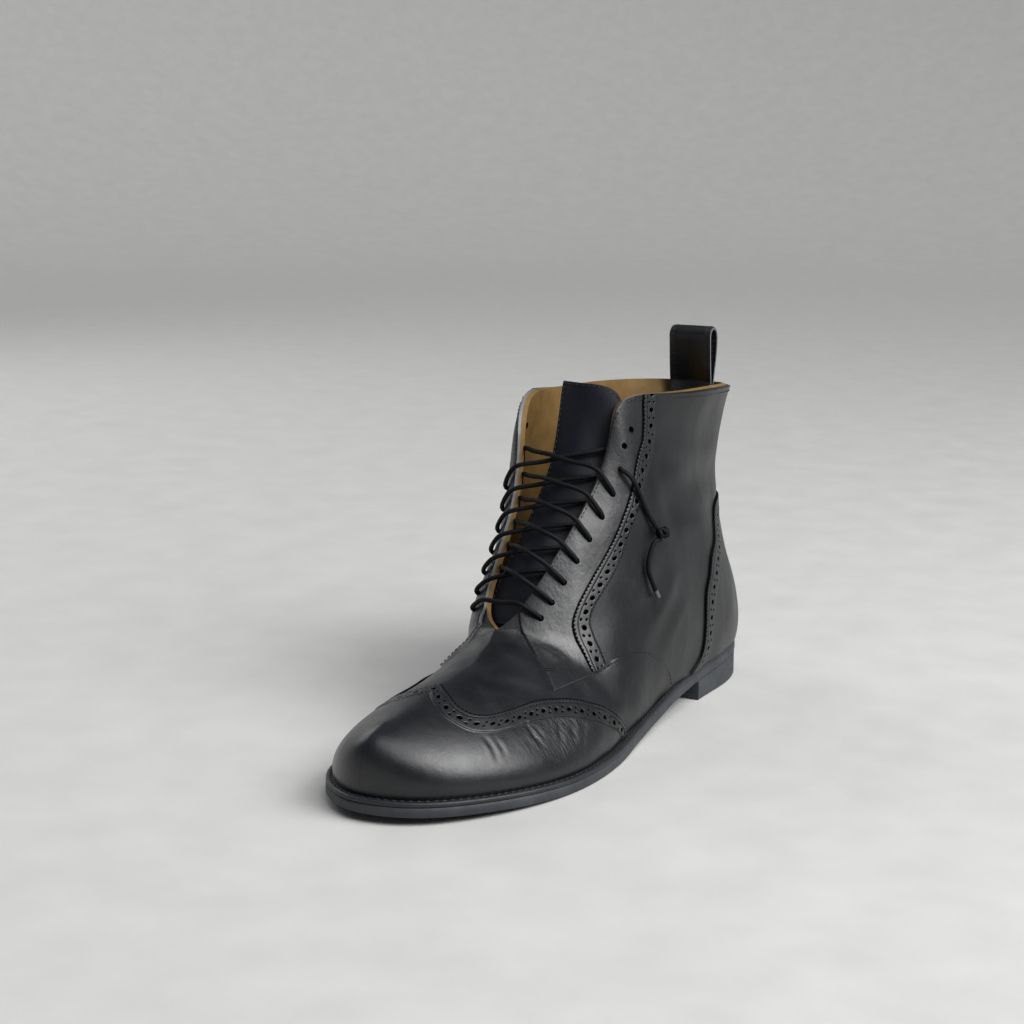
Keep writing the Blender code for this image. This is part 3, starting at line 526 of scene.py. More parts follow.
def black_leather(name, rough=(0.34, 0.46), dark=(0.0030, 0.0034, 0.0046), light=(0.0070, 0.0078, 0.0100),
                  coat=0.05, wrinkle=0.0, holes=False, spec=0.42, crinkle=0.14):
    """Dyed leather: pores, soft crinkles and, where asked for, wrinkles beside the ball or punched holes,
    with painted shade in the holes and the sewn grooves.
    """
    g = Graph(name)
    blotch = g.noise(45.0, 4.0)
    colour = g.mixed(g.ranged(blotch, 0.35, 0.68, 0.0, 1.0), dark, light)
    fine = g.noise(1500.0, 2.0)
    pores = g.cells(1250.0)
    smear = g.noise((90.0, 90.0, 30.0), 3.0)
    smeared = g.ranged(smear, 0.3, 0.7, rough[0], rough[1])
    roughness = g.math("ADD", smeared, g.ranged(fine, 0.3, 0.7, -0.03, 0.05))
    normal = g.bump(g.ranged(pores, 0.0, 0.25, 0.0, 1.0), PORE_STRENGTH, 0.00012)
    normal = g.bump(fine, PORE_STRENGTH, 0.00010, normal)
    normal = g.bump(g.noise(60.0, 2.0), 0.18, 0.0012, normal)
    normal = g.bump(g.noise((330.0, 330.0, 240.0), 5.0, 0.65), crinkle, 0.0008, normal)
    if wrinkle:
        lines = g.noise((130.0, 760.0, 85.0), 5.0, 0.6)
        away = g.node("ShaderNodeVectorMath", operation="DISTANCE")
        g.link(g.place, away.inputs[0])
        away.inputs[1].default_value = WRINKLE_PLACE
        near = g.ranged(away.outputs["Value"], WRINKLE_REACH * 0.3, WRINKLE_REACH, wrinkle, 0.0)
        folds = g.math("MULTIPLY", g.ranged(lines, 0.40, 0.60, 0.0, 1.0), near)
        normal = g.bump(folds, 0.8, 0.0005, normal)
    if holes:
        uv = g.node("ShaderNodeUVMap", uv_map="strip")
        split = g.node("ShaderNodeSeparateXYZ")
        g.link(uv.outputs["UV"], split.inputs[0])
        run = g.math("MULTIPLY", split.outputs[0], 1000.0)
        across = g.math("MULTIPLY", split.outputs[1], 1000.0)

        def round_hole(shift, side, radius):
            part = g.math("FRACT", g.math("ADD", g.math("DIVIDE", run, HOLE_PITCH), shift))
            away = g.math("MULTIPLY", g.math("SUBTRACT", part, 0.5), HOLE_PITCH)
            beside = g.math("SUBTRACT", g.math("ABSOLUTE", across), side) if side else across
            squares = g.math("ADD", g.math("MULTIPLY", away, away), g.math("MULTIPLY", beside, beside))
            far = g.math("SQRT", squares)
            return g.ranged(far, radius - HOLE_BLUR, radius + HOLE_BLUR, 1.0, 0.0)

        large = round_hole(0.5, 0.0, LARGE_HOLE)
        painted_shade_mask = g.math("MAXIMUM", large, round_hole(0.0, SMALL_HOLE_SIDE, SMALL_HOLE))
        # Painted shade: the holes darkened to near black
        colour = g.mixed(painted_shade_mask, colour, HOLE_SHADE_COLOUR)
        roughness = g.math("ADD", roughness, g.math("MULTIPLY", painted_shade_mask, 0.5))
        normal = g.bump(g.math("SUBTRACT", 1.0, painted_shade_mask), 0.6, 0.0006, normal)
        edges = g.node("ShaderNodeUVMap", uv_map="edges")
        both = g.node("ShaderNodeSeparateXYZ")
        g.link(edges.outputs["UV"], both.inputs[0])
        for output, place_at in ((0, EDGE_STITCH), (1, SEAM_STITCH)):
            away = g.math("ABSOLUTE", g.math("SUBTRACT", both.outputs[output], place_at))
            groove = g.ranged(away, GROOVE_CORE, GROOVE_REACH, 0.85, 0.0)
            painted_shade_mask = g.math("MAXIMUM", painted_shade_mask, groove)
        # Painted shade along the sewn grooves too, with gloss and coat taken away wherever the shade is
        # painted
        colour = g.mixed(painted_shade_mask, colour, HOLE_SHADE_COLOUR)
        g.link(g.ranged(painted_shade_mask, 0.0, 1.0, spec, 0.0), g.shader.inputs["Specular IOR Level"])
        g.link(g.ranged(painted_shade_mask, 0.0, 0.6, coat, 0.0), g.shader.inputs["Coat Weight"])
    g.shader.inputs["Coat Weight"].default_value = coat
    g.shader.inputs["Coat Roughness"].default_value = COAT_ROUGHNESS
    g.shader.inputs["Specular IOR Level"].default_value = spec
    return g.finish(colour, roughness, normal)


def soft_material(name, dark, light, rough, scale, bump, stretch=(1.0, 1.0, 1.0), spec=0.5):
    """Matte material with blotches of two colours and a fine grain."""
    g = Graph(name)
    colour = g.mixed(g.ranged(g.noise(60.0, 4.0), 0.35, 0.65, 0.0, 1.0), dark, light)
    fine = g.noise(tuple(scale * part for part in stretch), 3.0)
    roughness = g.ranged(fine, 0.3, 0.7, rough - 0.06, rough + 0.08)
    g.shader.inputs["Specular IOR Level"].default_value = spec
    return g.finish(colour, roughness, g.bump(fine, bump, 0.0002))


def matte_black():
    """Painted shade: black matte for a strip's rim and the band past its teeth, standing in for the shadow
    between the teeth.
    """
    g = Graph("pinked_painted_shade")
    fine = g.noise(900.0)
    g.shader.inputs["Specular IOR Level"].default_value = 0.05
    colour = g.mixed(fine, (0.0010, 0.0010, 0.0012), (0.0020, 0.0020, 0.0024))
    return g.finish(colour, g.ranged(fine, 0.3, 0.7, 0.8, 0.9), g.bump(fine, 0.1, 0.0001))


def make_materials():
    return {
        "leather": black_leather("black_leather"),
        "wing": black_leather("black_leather_creased", rough=(0.29, 0.40), wrinkle=0.30, spec=0.5),
        "gloss": black_leather("black_leather_gloss", rough=(0.32, 0.42), coat=0.12, spec=0.55,
                               crinkle=0.30),
        "tongue": black_leather("black_leather_tongue", rough=(0.46, 0.58), dark=(0.0035, 0.0040, 0.0075),
                                light=(0.0060, 0.0070, 0.0125), coat=0.0, spec=0.25),
        "strip": black_leather("black_leather_punched", holes=True, spec=0.55),
        "shadow": matte_black(),
        # Grey of the raw cut edges, lightened to paint the glint that runs along them
        "edge": soft_material("cut_edge_with_painted_glint", (0.085, 0.090, 0.098), (0.16, 0.165, 0.175), 0.45, 900.0, 0.2),
        "tan": soft_material("tan_lining", (0.125, 0.072, 0.022), (0.19, 0.115, 0.038), 0.62, 700.0, 0.25,
                             spec=0.25),
        "thread": soft_material("black_thread", (0.005, 0.0055, 0.0065), (0.012, 0.013, 0.015), 0.5, 2200.0,
                                0.4, spec=0.35),
        "lace": soft_material("waxed_lace", (0.0022, 0.0024, 0.0034), (0.0055, 0.0060, 0.0075), 0.6, 1500.0,
                              0.5, spec=0.15),
        "tip": soft_material("lace_tip", (0.07, 0.07, 0.08), (0.14, 0.14, 0.15), 0.32, 900.0, 0.1),
        "rubber": soft_material("sole_rubber", (0.020, 0.023, 0.028), (0.038, 0.042, 0.049), 0.62, 420.0,
                                0.3, (1.0, 1.0, 0.35)),
        "welt": soft_material("welt_dark", (0.008, 0.009, 0.011), (0.017, 0.018, 0.021), 0.5, 600.0, 0.3),
    }


# Meshes


def add_piece(name, points, faces, materials, slots=None, smooth_angle=40.0):
    """Mesh object from points and faces, with a material for each face where slots says."""
    mesh = bpy.data.meshes.new(name)
    mesh.from_pydata(np.asarray(points, float).tolist(), [], faces)
    for material in materials:
        mesh.materials.append(material)
    if slots is not None:
        mesh.polygons.foreach_set("material_index", np.asarray(slots, dtype=np.int32))
    mesh.validate()
    mesh.shade_smooth()
    mesh.set_sharp_from_angle(angle=math.radians(smooth_angle))
    return new_object(name, mesh)


BOTH = ((LATERAL, "lateral"), (MEDIAL, "medial"))

# Points of patches closer than this, in metres, become one
MERGE_STEP = 2e-5


def keep(obj, nodes):
    """Piece on the root body, in place of the nodes of the solids."""
    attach(obj, "root")
    if nodes:
        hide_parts(*nodes)
    return obj


def sheet_solid(name, nodes, patches, materials, inner_slot=0, rim_slot=0, uvs=None):
    """Closed solid between the outer and inner faces of patches, which join where their keys meet.

    Each patch is (key points, outer points, inner points, flip), with points in a grid. The inside and the
    rim have their own material slots, and uvs names the UV layers of a solid with one patch.
    """
    index_of, faces, numbered = {}, [], []
    for keys, _, _, flip in patches:
        rounded = np.round(keys.reshape(-1, 3) / MERGE_STEP).astype(np.int64)
        numbers = [index_of.setdefault(key, len(index_of)) for key in map(tuple, rounded)]
        numbered.append(numbers)
        for quad in grid_faces(*keys.shape[:2], flip):
            ring = tuple(dict.fromkeys(numbers[corner] for corner in quad))
            if len(ring) > 2:
                faces.append(ring)
    count = len(index_of)
    sums = np.zeros((2, count, 3))
    hits = np.zeros(count)
    for (_, outer, inner, _), numbers in zip(patches, numbered):
        np.add.at(sums[0], numbers, outer.reshape(-1, 3))
        np.add.at(sums[1], numbers, inner.reshape(-1, 3))
        np.add.at(hits, numbers, 1)
    sums /= hits[None, :, None]
    used = set()
    for ring in faces:
        used.update(zip(ring, ring[1:] + ring[:1]))
    rim = sorted((b, a, a + count, b + count) for a, b in used if (b, a) not in used)
    inner_faces = [tuple(number + count for number in reversed(ring)) for ring in faces]
    slots = [0] * len(faces) + [inner_slot] * len(inner_faces) + [rim_slot] * len(rim)
    obj = add_piece(name, np.concatenate([sums[0], sums[1]]), faces + inner_faces + rim, materials, slots)
    for layer_name, values in (uvs or {}).items():
        layer = obj.data.uv_layers.new(name=layer_name)
        corners = np.empty(len(obj.data.loops), dtype=np.int32)
        obj.data.loops.foreach_get("vertex_index", corners)
        places = np.zeros((count, 2))
        places[numbers] = values.reshape(-1, 2)
        layer.data.foreach_set("uv", np.concatenate([places, places])[corners].ravel())
    fix_normals(obj)
    return keep(obj, nodes)


def fix_normals(obj):
    work = bmesh.new()
    work.from_mesh(obj.data)
    bmesh.ops.recalc_face_normals(work, faces=work.faces)
    work.to_mesh(obj.data)
    work.free()


# Creases: a soft trough along a short path over the upper, as depth and half width in metres and its points
CREASES = (
    (0.0003, 0.0013, ((0.193, 0.48), (0.194, 0.39), (0.190, 0.27))),
    (0.0002, 0.0013, ((0.205, 0.44), (0.206, 0.37), (0.203, 0.30))),
    (0.0007, 0.0013, ((0.270, 0.455), (0.268, 0.38), (0.268, 0.305))),
    (0.0005, 0.0012, ((0.280, 0.44), (0.278, 0.38), (0.277, 0.33))),
    (0.0005, 0.0012, ((0.325, 0.40), (0.312, 0.33), (0.302, 0.27))),
    (0.0005, 0.0012, ((0.345, 0.355), (0.334, 0.29), (0.325, 0.23))),
    (0.0005, 0.0012, ((0.367, 0.305), (0.352, 0.25), (0.340, 0.195))),
    (0.0002, 0.0035, ((0.330, 0.66), (0.300, 0.75), (0.280, 0.86))),
    (0.0002, 0.0045, ((0.380, 0.62), (0.365, 0.74), (0.350, 0.88))),
    (0.0008, 0.0080, ((0.880, 0.62), (0.820, 0.60), (0.740, 0.58))),
    (0.0007, 0.0070, ((0.960, 0.70), (0.880, 0.69), (0.800, 0.70))),
    (0.0006, 0.0060, ((0.700, 0.50), (0.640, 0.46), (0.590, 0.44))),
    (0.0005, 0.0050, ((0.700, 0.36), (0.660, 0.33), (0.620, 0.30))),
)


CREASE_POINTS = 25
WAVE_DEPTH = 0.00016


def resampled(table, count):
    """Rows along a smooth run through a table's rows."""
    knots = np.arange(len(table), dtype=float)
    at = np.linspace(0, len(table) - 1, count)
    return np.stack([monotone(knots, column, at) for column in table.T], 1)


def refined(table):
    return resampled(table, (len(table) - 1) * 12 + 1)


def crease_depth(side, s, v, points):
    """Depth of the creases and of the leather's slow waves at places on the upper."""
    depth = np.zeros(s.shape)
    for deep, half, path in CREASES:
        line = on_last(side, *resampled(np.array(path), CREASE_POINTS).T)
        low = line.min(0) - 3 * half
        high = line.max(0) + 3 * half
        near = np.all((points > low) & (points < high), axis=-1)
        if not near.any():
            continue
        gap = points[near][:, None] - line[None]
        away = np.sqrt((gap ** 2).sum(-1))
        nearest = away.argmin(1)
        fade = np.sin(np.pi * np.clip((nearest + 1) / (len(line) + 1), 0, 1)) ** 0.6
        away = away.min(1) / half
        ridge = 0.45 * np.exp(-((away - 1.7) / 0.7) ** 2)
        depth[near] += deep * fade * (np.exp(-away ** 2) - ridge)
    wave = np.sin(41 * s + 9 * v + side) * np.sin(17 * v + 13 * s) + 0.6 * np.sin(83 * s - 23 * v + 2 * side)
    calm = np.clip((s - 0.22) / 0.2, 0, 1)
    return depth + WAVE_DEPTH * wave * calm


# Rolled edge of a panel: places from the edge and the fall of its outer face there, in metres
EDGE_STEPS = np.array([0.0, 0.00025, 0.0006, 0.0012])
EDGE_DROP = np.array([0.00030, 0.00010, 0.00003, 0.0])


def row_ends(side, rows):
    """Points at both ends of each row of a table."""
    return on_last(side, rows[:, 0], rows[:, 1]), on_last(side, rows[:, 2], rows[:, 3])


def row_widths(side, rows):
    front, back = row_ends(side, rows)
    return np.linalg.norm(front - back, axis=1)


def even_rows(side, table, step):
    """Table resampled so that its longer edge has even steps."""
    fine = refined(table)
    front, back = row_ends(side, fine)
    total = np.concatenate([[0.0], np.cumsum(np.maximum(steps_along(front), steps_along(back)))])
    at = np.linspace(0, total[-1], max(int(total[-1] / step), 8) + 1)
    return np.stack([np.interp(at, total, column) for column in fine.T], 1)


def spread(rows, shares):
    """Places s and v at shares of the way across each row."""
    s = np.clip(rows[:, :1] + (rows[:, 2:3] - rows[:, :1]) * shares, 0, 1)
    v = np.clip(rows[:, 1:2] + (rows[:, 3:4] - rows[:, 1:2]) * shares, 0, 1)
    return s, v


def panel_grid(side, table, row_step, columns, top, soft=(True, True), bunch=1.0):
    """Patch of a panel with its outer edges rolled over where soft."""
    rows = even_rows(side, table, row_step)
    width = np.maximum(row_widths(side, rows), 1e-4)[:, None]
    inner = 1 - (1 - np.linspace(0, 1, columns)[None, 1:-1]) ** bunch
    margin = np.minimum(EDGE_STEPS[None], width * 0.3) / width
    start = margin if soft[0] else margin[:, :1] * 0
    end = 1 - (margin[:, ::-1] if soft[1] else margin[:, :1] * 0)
    middle = start[:, -1:] + (end[:, :1] - start[:, -1:]) * inner
    share = np.concatenate([start, middle, end], 1)
    drop = np.zeros(share.shape)
    if soft[0]:
        drop[:, :len(EDGE_DROP)] = EDGE_DROP
    if soft[1]:
        drop[:, -len(EDGE_DROP):] = EDGE_DROP[::-1]
    s, v = spread(rows, share)
    keys = on_last(side, s, v)
    height = top(s, v) if callable(top) else top
    outer = raised(side, s, v, height - drop - crease_depth(side, s, v, keys))
    return keys, outer, raised(side, s, v, PANEL_BACK), side > 0


# Panels: each row joins a place on one edge to one on the other, as s, v, s and v
WING_CAP = np.array([
    (0.0, 0.00, 0.470, 0.00),
    (0.0, 0.10, 0.462, 0.10),
    (0.0, 0.20, 0.450, 0.19),
    (0.0, 0.30, 0.432, 0.285),
    (0.0, 0.40, 0.398, 0.395),
    (0.0, 0.49, 0.355, 0.49),
    (0.0, 0.56, 0.307, 0.55),
    (0.0, 0.62, 0.255, 0.575),
    (0.0, 0.68, 0.218, 0.605),
    (0.0, 0.76, 0.196, 0.67),
    (0.0, 0.84, 0.188, 0.77),
    (0.0, 0.92, 0.193, 0.87),
    (0.0, 1.00, 0.205, 1.00),
])
VAMP = np.array([
    (0.455, 0.00, 0.640, 0.00),
    (0.447, 0.10, 0.634, 0.08),
    (0.435, 0.18, 0.612, 0.19),
    (0.417, 0.27, 0.590, 0.28),
    (0.383, 0.375, 0.562, 0.365),
    (0.340, 0.47, 0.515, 0.468),
    (0.297, 0.53, 0.478, 0.497),
    (0.245, 0.555, 0.430, 0.515),
    (0.205, 0.59, 0.390, 0.57),
    (0.183, 0.66, 0.410, 0.70),
    (0.174, 0.77, 0.450, 0.84),
    (0.180, 0.87, 0.468, 0.93),
    (0.190, 1.00, 0.443, 1.00),
])
EYESTAY = np.array([
    (0.366, 0.548, 0.495, 0.480),
    (0.400, 0.69, 0.515, 0.590),
    (0.440, 0.82, 0.532, 0.675),
    (0.483, 0.945, 0.547, 0.725),
    (0.507, 1.00, 0.565, 0.735),
    (0.550, 1.00, 0.610, 0.740),
    (0.600, 1.00, 0.655, 0.755),
    (0.650, 1.00, 0.700, 0.765),
    (0.700, 1.00, 0.747, 0.770),
    (0.735, 1.00, 0.785, 0.80),
    (0.755, 1.00, 0.807, 0.89),
    (0.768, 1.00, 0.817, 1.00),
])
QUARTER = np.array([
    (0.620, 0.00, 0.715, 0.00),
    (0.614, 0.08, 0.745, 0.055),
    (0.592, 0.19, 0.760, 0.145),
    (0.570, 0.28, 0.773, 0.205),
    (0.542, 0.365, 0.790, 0.255),
    (0.505, 0.455, 0.812, 0.305),
    (0.478, 0.495, 0.840, 0.37),
    (0.500, 0.595, 0.870, 0.42),
    (0.517, 0.685, 0.908, 0.49),
    (0.532, 0.74, 0.950, 0.565),
    (0.543, 0.75, 0.978, 0.577),
    (0.555, 0.755, 1.000, 0.58),
    (0.605, 0.76, 1.000, 0.66),
    (0.652, 0.775, 1.000, 0.74),
    (0.700, 0.785, 1.000, 0.80),
    (0.742, 0.79, 1.000, 0.86),
    (0.777, 0.82, 1.000, 0.91),
    (0.797, 0.895, 1.000, 0.96),
    (0.807, 1.00, 1.000, 1.00),
])
COUNTER = np.array([
    (0.700, 0.00, 1.0, 0.00),
    (0.730, 0.055, 1.0, 0.07),
    (0.745, 0.145, 1.0, 0.15),
    (0.758, 0.215, 1.0, 0.22),
    (0.772, 0.27, 1.0, 0.29),
    (0.797, 0.32, 1.0, 0.35),
    (0.825, 0.385, 1.0, 0.42),
    (0.858, 0.435, 1.0, 0.48),
    (0.900, 0.51, 1.0, 0.54),
    (0.950, 0.585, 1.0, 0.60),
])

# Punched strips: each row joins a place on the pinked edge to one on the seam behind it
WING_STRIP = np.array([
    (0.205, 1.00, 0.172, 1.00),
    (0.196, 0.92, 0.162, 0.92),
    (0.192, 0.85, 0.158, 0.855),
    (0.188, 0.76, 0.155, 0.75),
    (0.196, 0.665, 0.163, 0.635),
    (0.218, 0.60, 0.178, 0.540),
    (0.255, 0.572, 0.215, 0.475),
    (0.307, 0.55, 0.280, 0.450),
    (0.355, 0.49, 0.328, 0.405),
    (0.398, 0.395, 0.370, 0.315),
    (0.432, 0.285, 0.408, 0.205),
    (0.450, 0.18, 0.432, 0.120),
    (0.461, 0.10, 0.443, 0.060),
    (0.470, 0.00, 0.450, 0.000),
])
QUARTER_STRIP = np.array([
    (0.807, 1.00, 0.825, 1.00),
    (0.797, 0.895, 0.817, 0.89),
    (0.777, 0.82, 0.790, 0.78),
    (0.742, 0.79, 0.750, 0.728),
    (0.700, 0.785, 0.705, 0.725),
    (0.652, 0.775, 0.664, 0.720),
    (0.628, 0.765, 0.640, 0.705),
    (0.605, 0.760, 0.620, 0.688),
    (0.580, 0.757, 0.590, 0.678),
    (0.555, 0.753, 0.564, 0.680),
    (0.533, 0.735, 0.546, 0.665),
    (0.517, 0.685, 0.533, 0.605),
    (0.500, 0.595, 0.522, 0.530),
    (0.478, 0.495, 0.512, 0.468),
])
COUNTER_STRIP = np.array([
    (1.000, 0.600, 1.000, 0.555),
    (0.950, 0.585, 0.957, 0.535),
    (0.900, 0.510, 0.917, 0.470),
    (0.858, 0.435, 0.880, 0.402),
    (0.825, 0.385, 0.851, 0.352),
    (0.797, 0.320, 0.824, 0.295),
    (0.772, 0.270, 0.799, 0.245),
    (0.758, 0.215, 0.784, 0.192),
    (0.745, 0.145, 0.772, 0.130),
    (0.730, 0.055, 0.757, 0.050),
    (0.700, 0.000, 0.735, 0.000),
])

# Seam paths, as s and v
TAB_EDGE = ((0.478, 0.497), (0.515, 0.468), (0.562, 0.365), (0.590, 0.28), (0.612, 0.19), (0.634, 0.08),
            (0.640, 0.0))
THROAT_SEAM_V = 1 - 0.0022 / 0.13
THROAT_SEAM = tuple((s, THROAT_SEAM_V) for s in (0.507, 0.60, 0.70, 0.766))
COLLAR_EDGE = ((0.775, 0.985), (0.86, 0.985), (0.94, 0.985), (1.0, 0.985))
BAR_TACK = ((0.392, 0.660), (0.420, 0.618))
PATH_POINTS = 400

# Form of a punched strip in metres: teeth, stitch lines from its two edges, holes and rise over its panel
TOOTH = 0.0011
TOOTH_PITCH = 0.0020
# Reach of the band of painted shade past the teeth
TOOTH_SHADOW = 0.00035
EDGE_STITCH = 0.0013
SEAM_STITCH = 0.0010
HOLE_DEPTH = 0.00034
STRIP_RISE = 0.00040
SEAM_FALL = 0.0012
CUT_FALL = 0.00006
GROOVE_DEPTH = 0.00014
GROOVE_WIDTH = 0.00035
STRIP_STEP = 0.00036
STRIP_COLUMNS = 28


def path_on(places):
    """Smooth path through places, as rows of s and v."""
    return resampled(np.array(places), PATH_POINTS)


def strip_grid(side, table, top):
    """Patch of a punched strip: teeth along its pinked edge, sunk holes in its middle, two sewn grooves."""
    rows = even_rows(side, table, STRIP_STEP)
    edge, seam = row_ends(side, rows)
    width = np.maximum(np.linalg.norm(edge - seam, axis=1), 1e-4)[:, None]
    run = run_along((edge + seam) / 2)[:, None]
    tooth = TOOTH * (1 - np.abs((run_along(edge) / TOOTH_PITCH) % 1 * 2 - 1))
    share = np.linspace(0, 1, STRIP_COLUMNS)[None] * np.ones((len(rows), 1))
    share[:, 0] = -tooth / width[:, 0]
    share[:, 1] = 0.02
    # The base reaches past the teeth, and its rim takes the painted shade seen between them
    base_share = share.copy()
    base_share[:, 0] = -(TOOTH + TOOTH_SHADOW) / width[:, 0]
    s, v = spread(rows, share)
    keys = on_last(side, s, v)
    beside = (share - 0.5) * width
    from_edge = share * width
    from_seam = (1 - share) * width
    height = STRIP_RISE * np.clip(from_seam / SEAM_FALL, 0, 1) - 2 * CUT_FALL * (share > 0.98)
    height -= np.where(share <= 0.0, CUT_FALL, 0.0)
    for away in (from_edge - EDGE_STITCH, from_seam - SEAM_STITCH):
        height -= GROOVE_DEPTH * np.exp(-(away / GROOVE_WIDTH) ** 2)

    def sunk(shift, side_way, radius):
        away = ((run * 1000 / HOLE_PITCH + shift) % 1 - 0.5) * HOLE_PITCH
        off = np.abs(beside * 1000) - side_way if side_way else beside * 1000
        inside = radius + HOLE_SLOPE - np.sqrt(away ** 2 + off ** 2)
        return HOLE_DEPTH * np.clip(inside / (2 * HOLE_SLOPE), 0, 1)

    height -= sunk(0.5, 0.0, LARGE_HOLE) + sunk(0.0, SMALL_HOLE_SIDE, SMALL_HOLE)
    crease = crease_depth(side, s, v, keys)
    outer = raised(side, s, v, top + height - crease)
    low = np.where(base_share <= 0.0, 0.00004, -0.0006)
    inner = raised(side, *spread(rows, base_share), top + low - crease)
    uv = np.stack([np.broadcast_to(run, share.shape), beside], -1)
    edges = np.stack([from_edge, from_seam], -1)
    return (keys, outer, inner, side < 0), uv, edges


# Rings of one stitch, as shares of its length and radius
STITCH_RINGS = ((-0.5, 0.35), (-0.36, 0.9), (0.0, 1.1), (0.36, 0.9), (0.5, 0.35))
STITCH_SIDES = 6
# Length of a stitch, gap to the next one and radius, in metres
USUAL_STITCH = (0.0018, 0.0008, 0.00026)
STRIP_STITCH = (0.0016, 0.0006, 0.00022)
FACING_STITCH = (0.0016, 0.0007, 0.00026)
TAB_STITCH = (0.0015, 0.0009, 0.00026)
TACK_STITCH = (0.0012, 0.0002, 0.0003)
WELT_STITCH = (0.0024, 0.0011, 0.00042)

# Distance of a seam from its edge, and of the two rows of a bar tack from its middle, in metres
FACING_INSET = 0.0018
TAB_INSET = 0.0015
TACK_HALF = 0.0006


def stitches(name, points, normals, material, stitch=USUAL_STITCH):
    """Row of sewn stitches along points, half sunk in the leather."""
    length, gap, radius = stitch
    run = run_along(points)
    places = np.arange(length / 2, run[-1] - length / 2, length + gap)

    def at(values, where):
        return np.stack([np.interp([where], run, column) for column in values.T], -1)[0]

    verts, faces = [], []
    angles = np.arange(STITCH_SIDES) * 2 * math.pi / STITCH_SIDES
    for place_along in places:
        start = at(points, place_along - length / 2)
        end = at(points, place_along + length / 2)
        up = at(normals, place_along)
        along = end - start
        size = np.linalg.norm(along)
        if size < 1e-6:
            continue
        along /= size
        across = np.cross(up, along)
        across /= max(np.linalg.norm(across), 1e-9)
        up = np.cross(along, across)
        centre = (start + end) / 2
        first = len(verts)
        for where, wide in STITCH_RINGS:
            for angle in angles:
                verts.append(centre + along * where * size
                             + (across * math.cos(angle) + up * math.sin(angle)) * radius * wide)
        faces += tube_faces(len(STITCH_RINGS), STITCH_SIDES, first)
        faces.append(tuple(first + corner for corner in reversed(range(STITCH_SIDES))))
        faces.append(tuple(len(verts) - STITCH_SIDES + corner for corner in range(STITCH_SIDES)))
    return keep(add_piece(name, verts, faces, [material], smooth_angle=80.0), [])


def stitch_row(name, side, path, height, material, stitch):
    """Row of stitches along a path of s and v, at a height over the last."""
    s, v = np.clip(path, 0, 1).T
    return stitches(name, raised(side, s, v, height), normal_on_last(side, s, v), material, stitch)


def offset_path(side, path, distance):
    """Path moved sideways over the surface by a distance in metres, to its left seen from outside."""
    s, v = path.T
    step = 0.002
    s_in, v_in = np.clip(s, step, 1 - step), np.clip(v, step, 1 - step)
    along_s = (on_last(side, s_in + step, v_in) - on_last(side, s_in - step, v_in)) / (2 * step)
    along_v = (on_last(side, s_in, v_in + step) - on_last(side, s_in, v_in - step)) / (2 * step)
    run = np.gradient(on_last(side, s_in, v_in), axis=0)
    run /= np.maximum(np.linalg.norm(run, axis=1)[:, None], 1e-9)
    out = np.cross(normal_on_last(side, s_in, v_in), run) * distance
    moved = np.zeros(path.shape)
    for i in range(len(path)):
        solved, *_ = np.linalg.lstsq(np.stack([along_s[i], along_v[i]], 1), out[i], rcond=None)
        moved[i] = path[i] + solved
    return moved


def between(table, share):
    """Path at a share of the way across a strip."""
    return path_on(table[:, :2] + (table[:, 2:] - table[:, :2]) * share)


FLAP_RISE = 0.0007


def vamp_top(s, v):
    """Height of the vamp, which rises over the quarter at its tab."""
    tab = np.clip((s - 0.47) / 0.06, 0, 1) * np.clip((0.52 - v) / 0.08, 0, 1)
    return VAMP_TOP + (VAMP_TAB_TOP - VAMP_TOP) * tab


def eyestay_top(s, v):
    """Height of a facing, whose lower tip stands off the vamp."""
    return EYESTAY_TOP + FLAP_RISE * np.clip((0.50 - s) / 0.07, 0, 1)


def make_shell(materials):
    """Lined shell behind the panels."""
    shares = np.linspace(0, 1, 150)
    shares[np.argmin(np.abs(shares - KNOTS[THROAT_ROW]))] = KNOTS[THROAT_ROW]
    s, v = np.meshgrid(shares, np.linspace(0, 1, 48), indexing="ij")
    patches = []
    for side, _ in BOTH:
        outer = raised(side, s, v, SHELL_TOP)
        inner = raised(side, s, v, -UPPER_DEPTH - WALL)
        patches.append((on_last(side, s, v), outer, inner, side < 0))
    return sheet_solid("shell", ["upper"], patches, [materials["leather"], materials["tan"]], 1, 1)


def make_panels(materials):
    """Leather panels over the shell. The two facings are returned, for their eyelets."""
    leather, edge = materials["leather"], materials["edge"]
    whole = (
        # node, table, row step, columns, height, soft edges, leather
        ("wing_cap", WING_CAP, 0.0012, 104, WING_TOP, (False, True), materials["wing"]),
        ("vamp", VAMP, 0.0014, 46, vamp_top, (True, True), leather),
        ("counter", COUNTER, 0.0014, 44, COUNTER_TOP, (True, False), leather),
    )
    for node, table, step, columns, top, soft, face in whole:
        patches = [panel_grid(side, table, step, columns, top, soft) for side, _ in BOTH]
        sheet_solid(f"{node}_leather", [node], patches, [face, edge])
    facings = []
    for side, word in BOTH:
        patch = panel_grid(side, QUARTER, 0.0014, 90, QUARTER_TOP, (True, False), 1.3)
        sheet_solid(f"quarter_{word}_leather", [f"quarter_{word}"], [patch], [leather, edge])
        patch = panel_grid(side, EYESTAY, 0.0011, 24, eyestay_top)
        facings.append(sheet_solid(f"eyestay_{word}_leather", [f"eyestay_{word}"], [patch],
                                   [materials["gloss"], edge], 0, 1))
    return facings


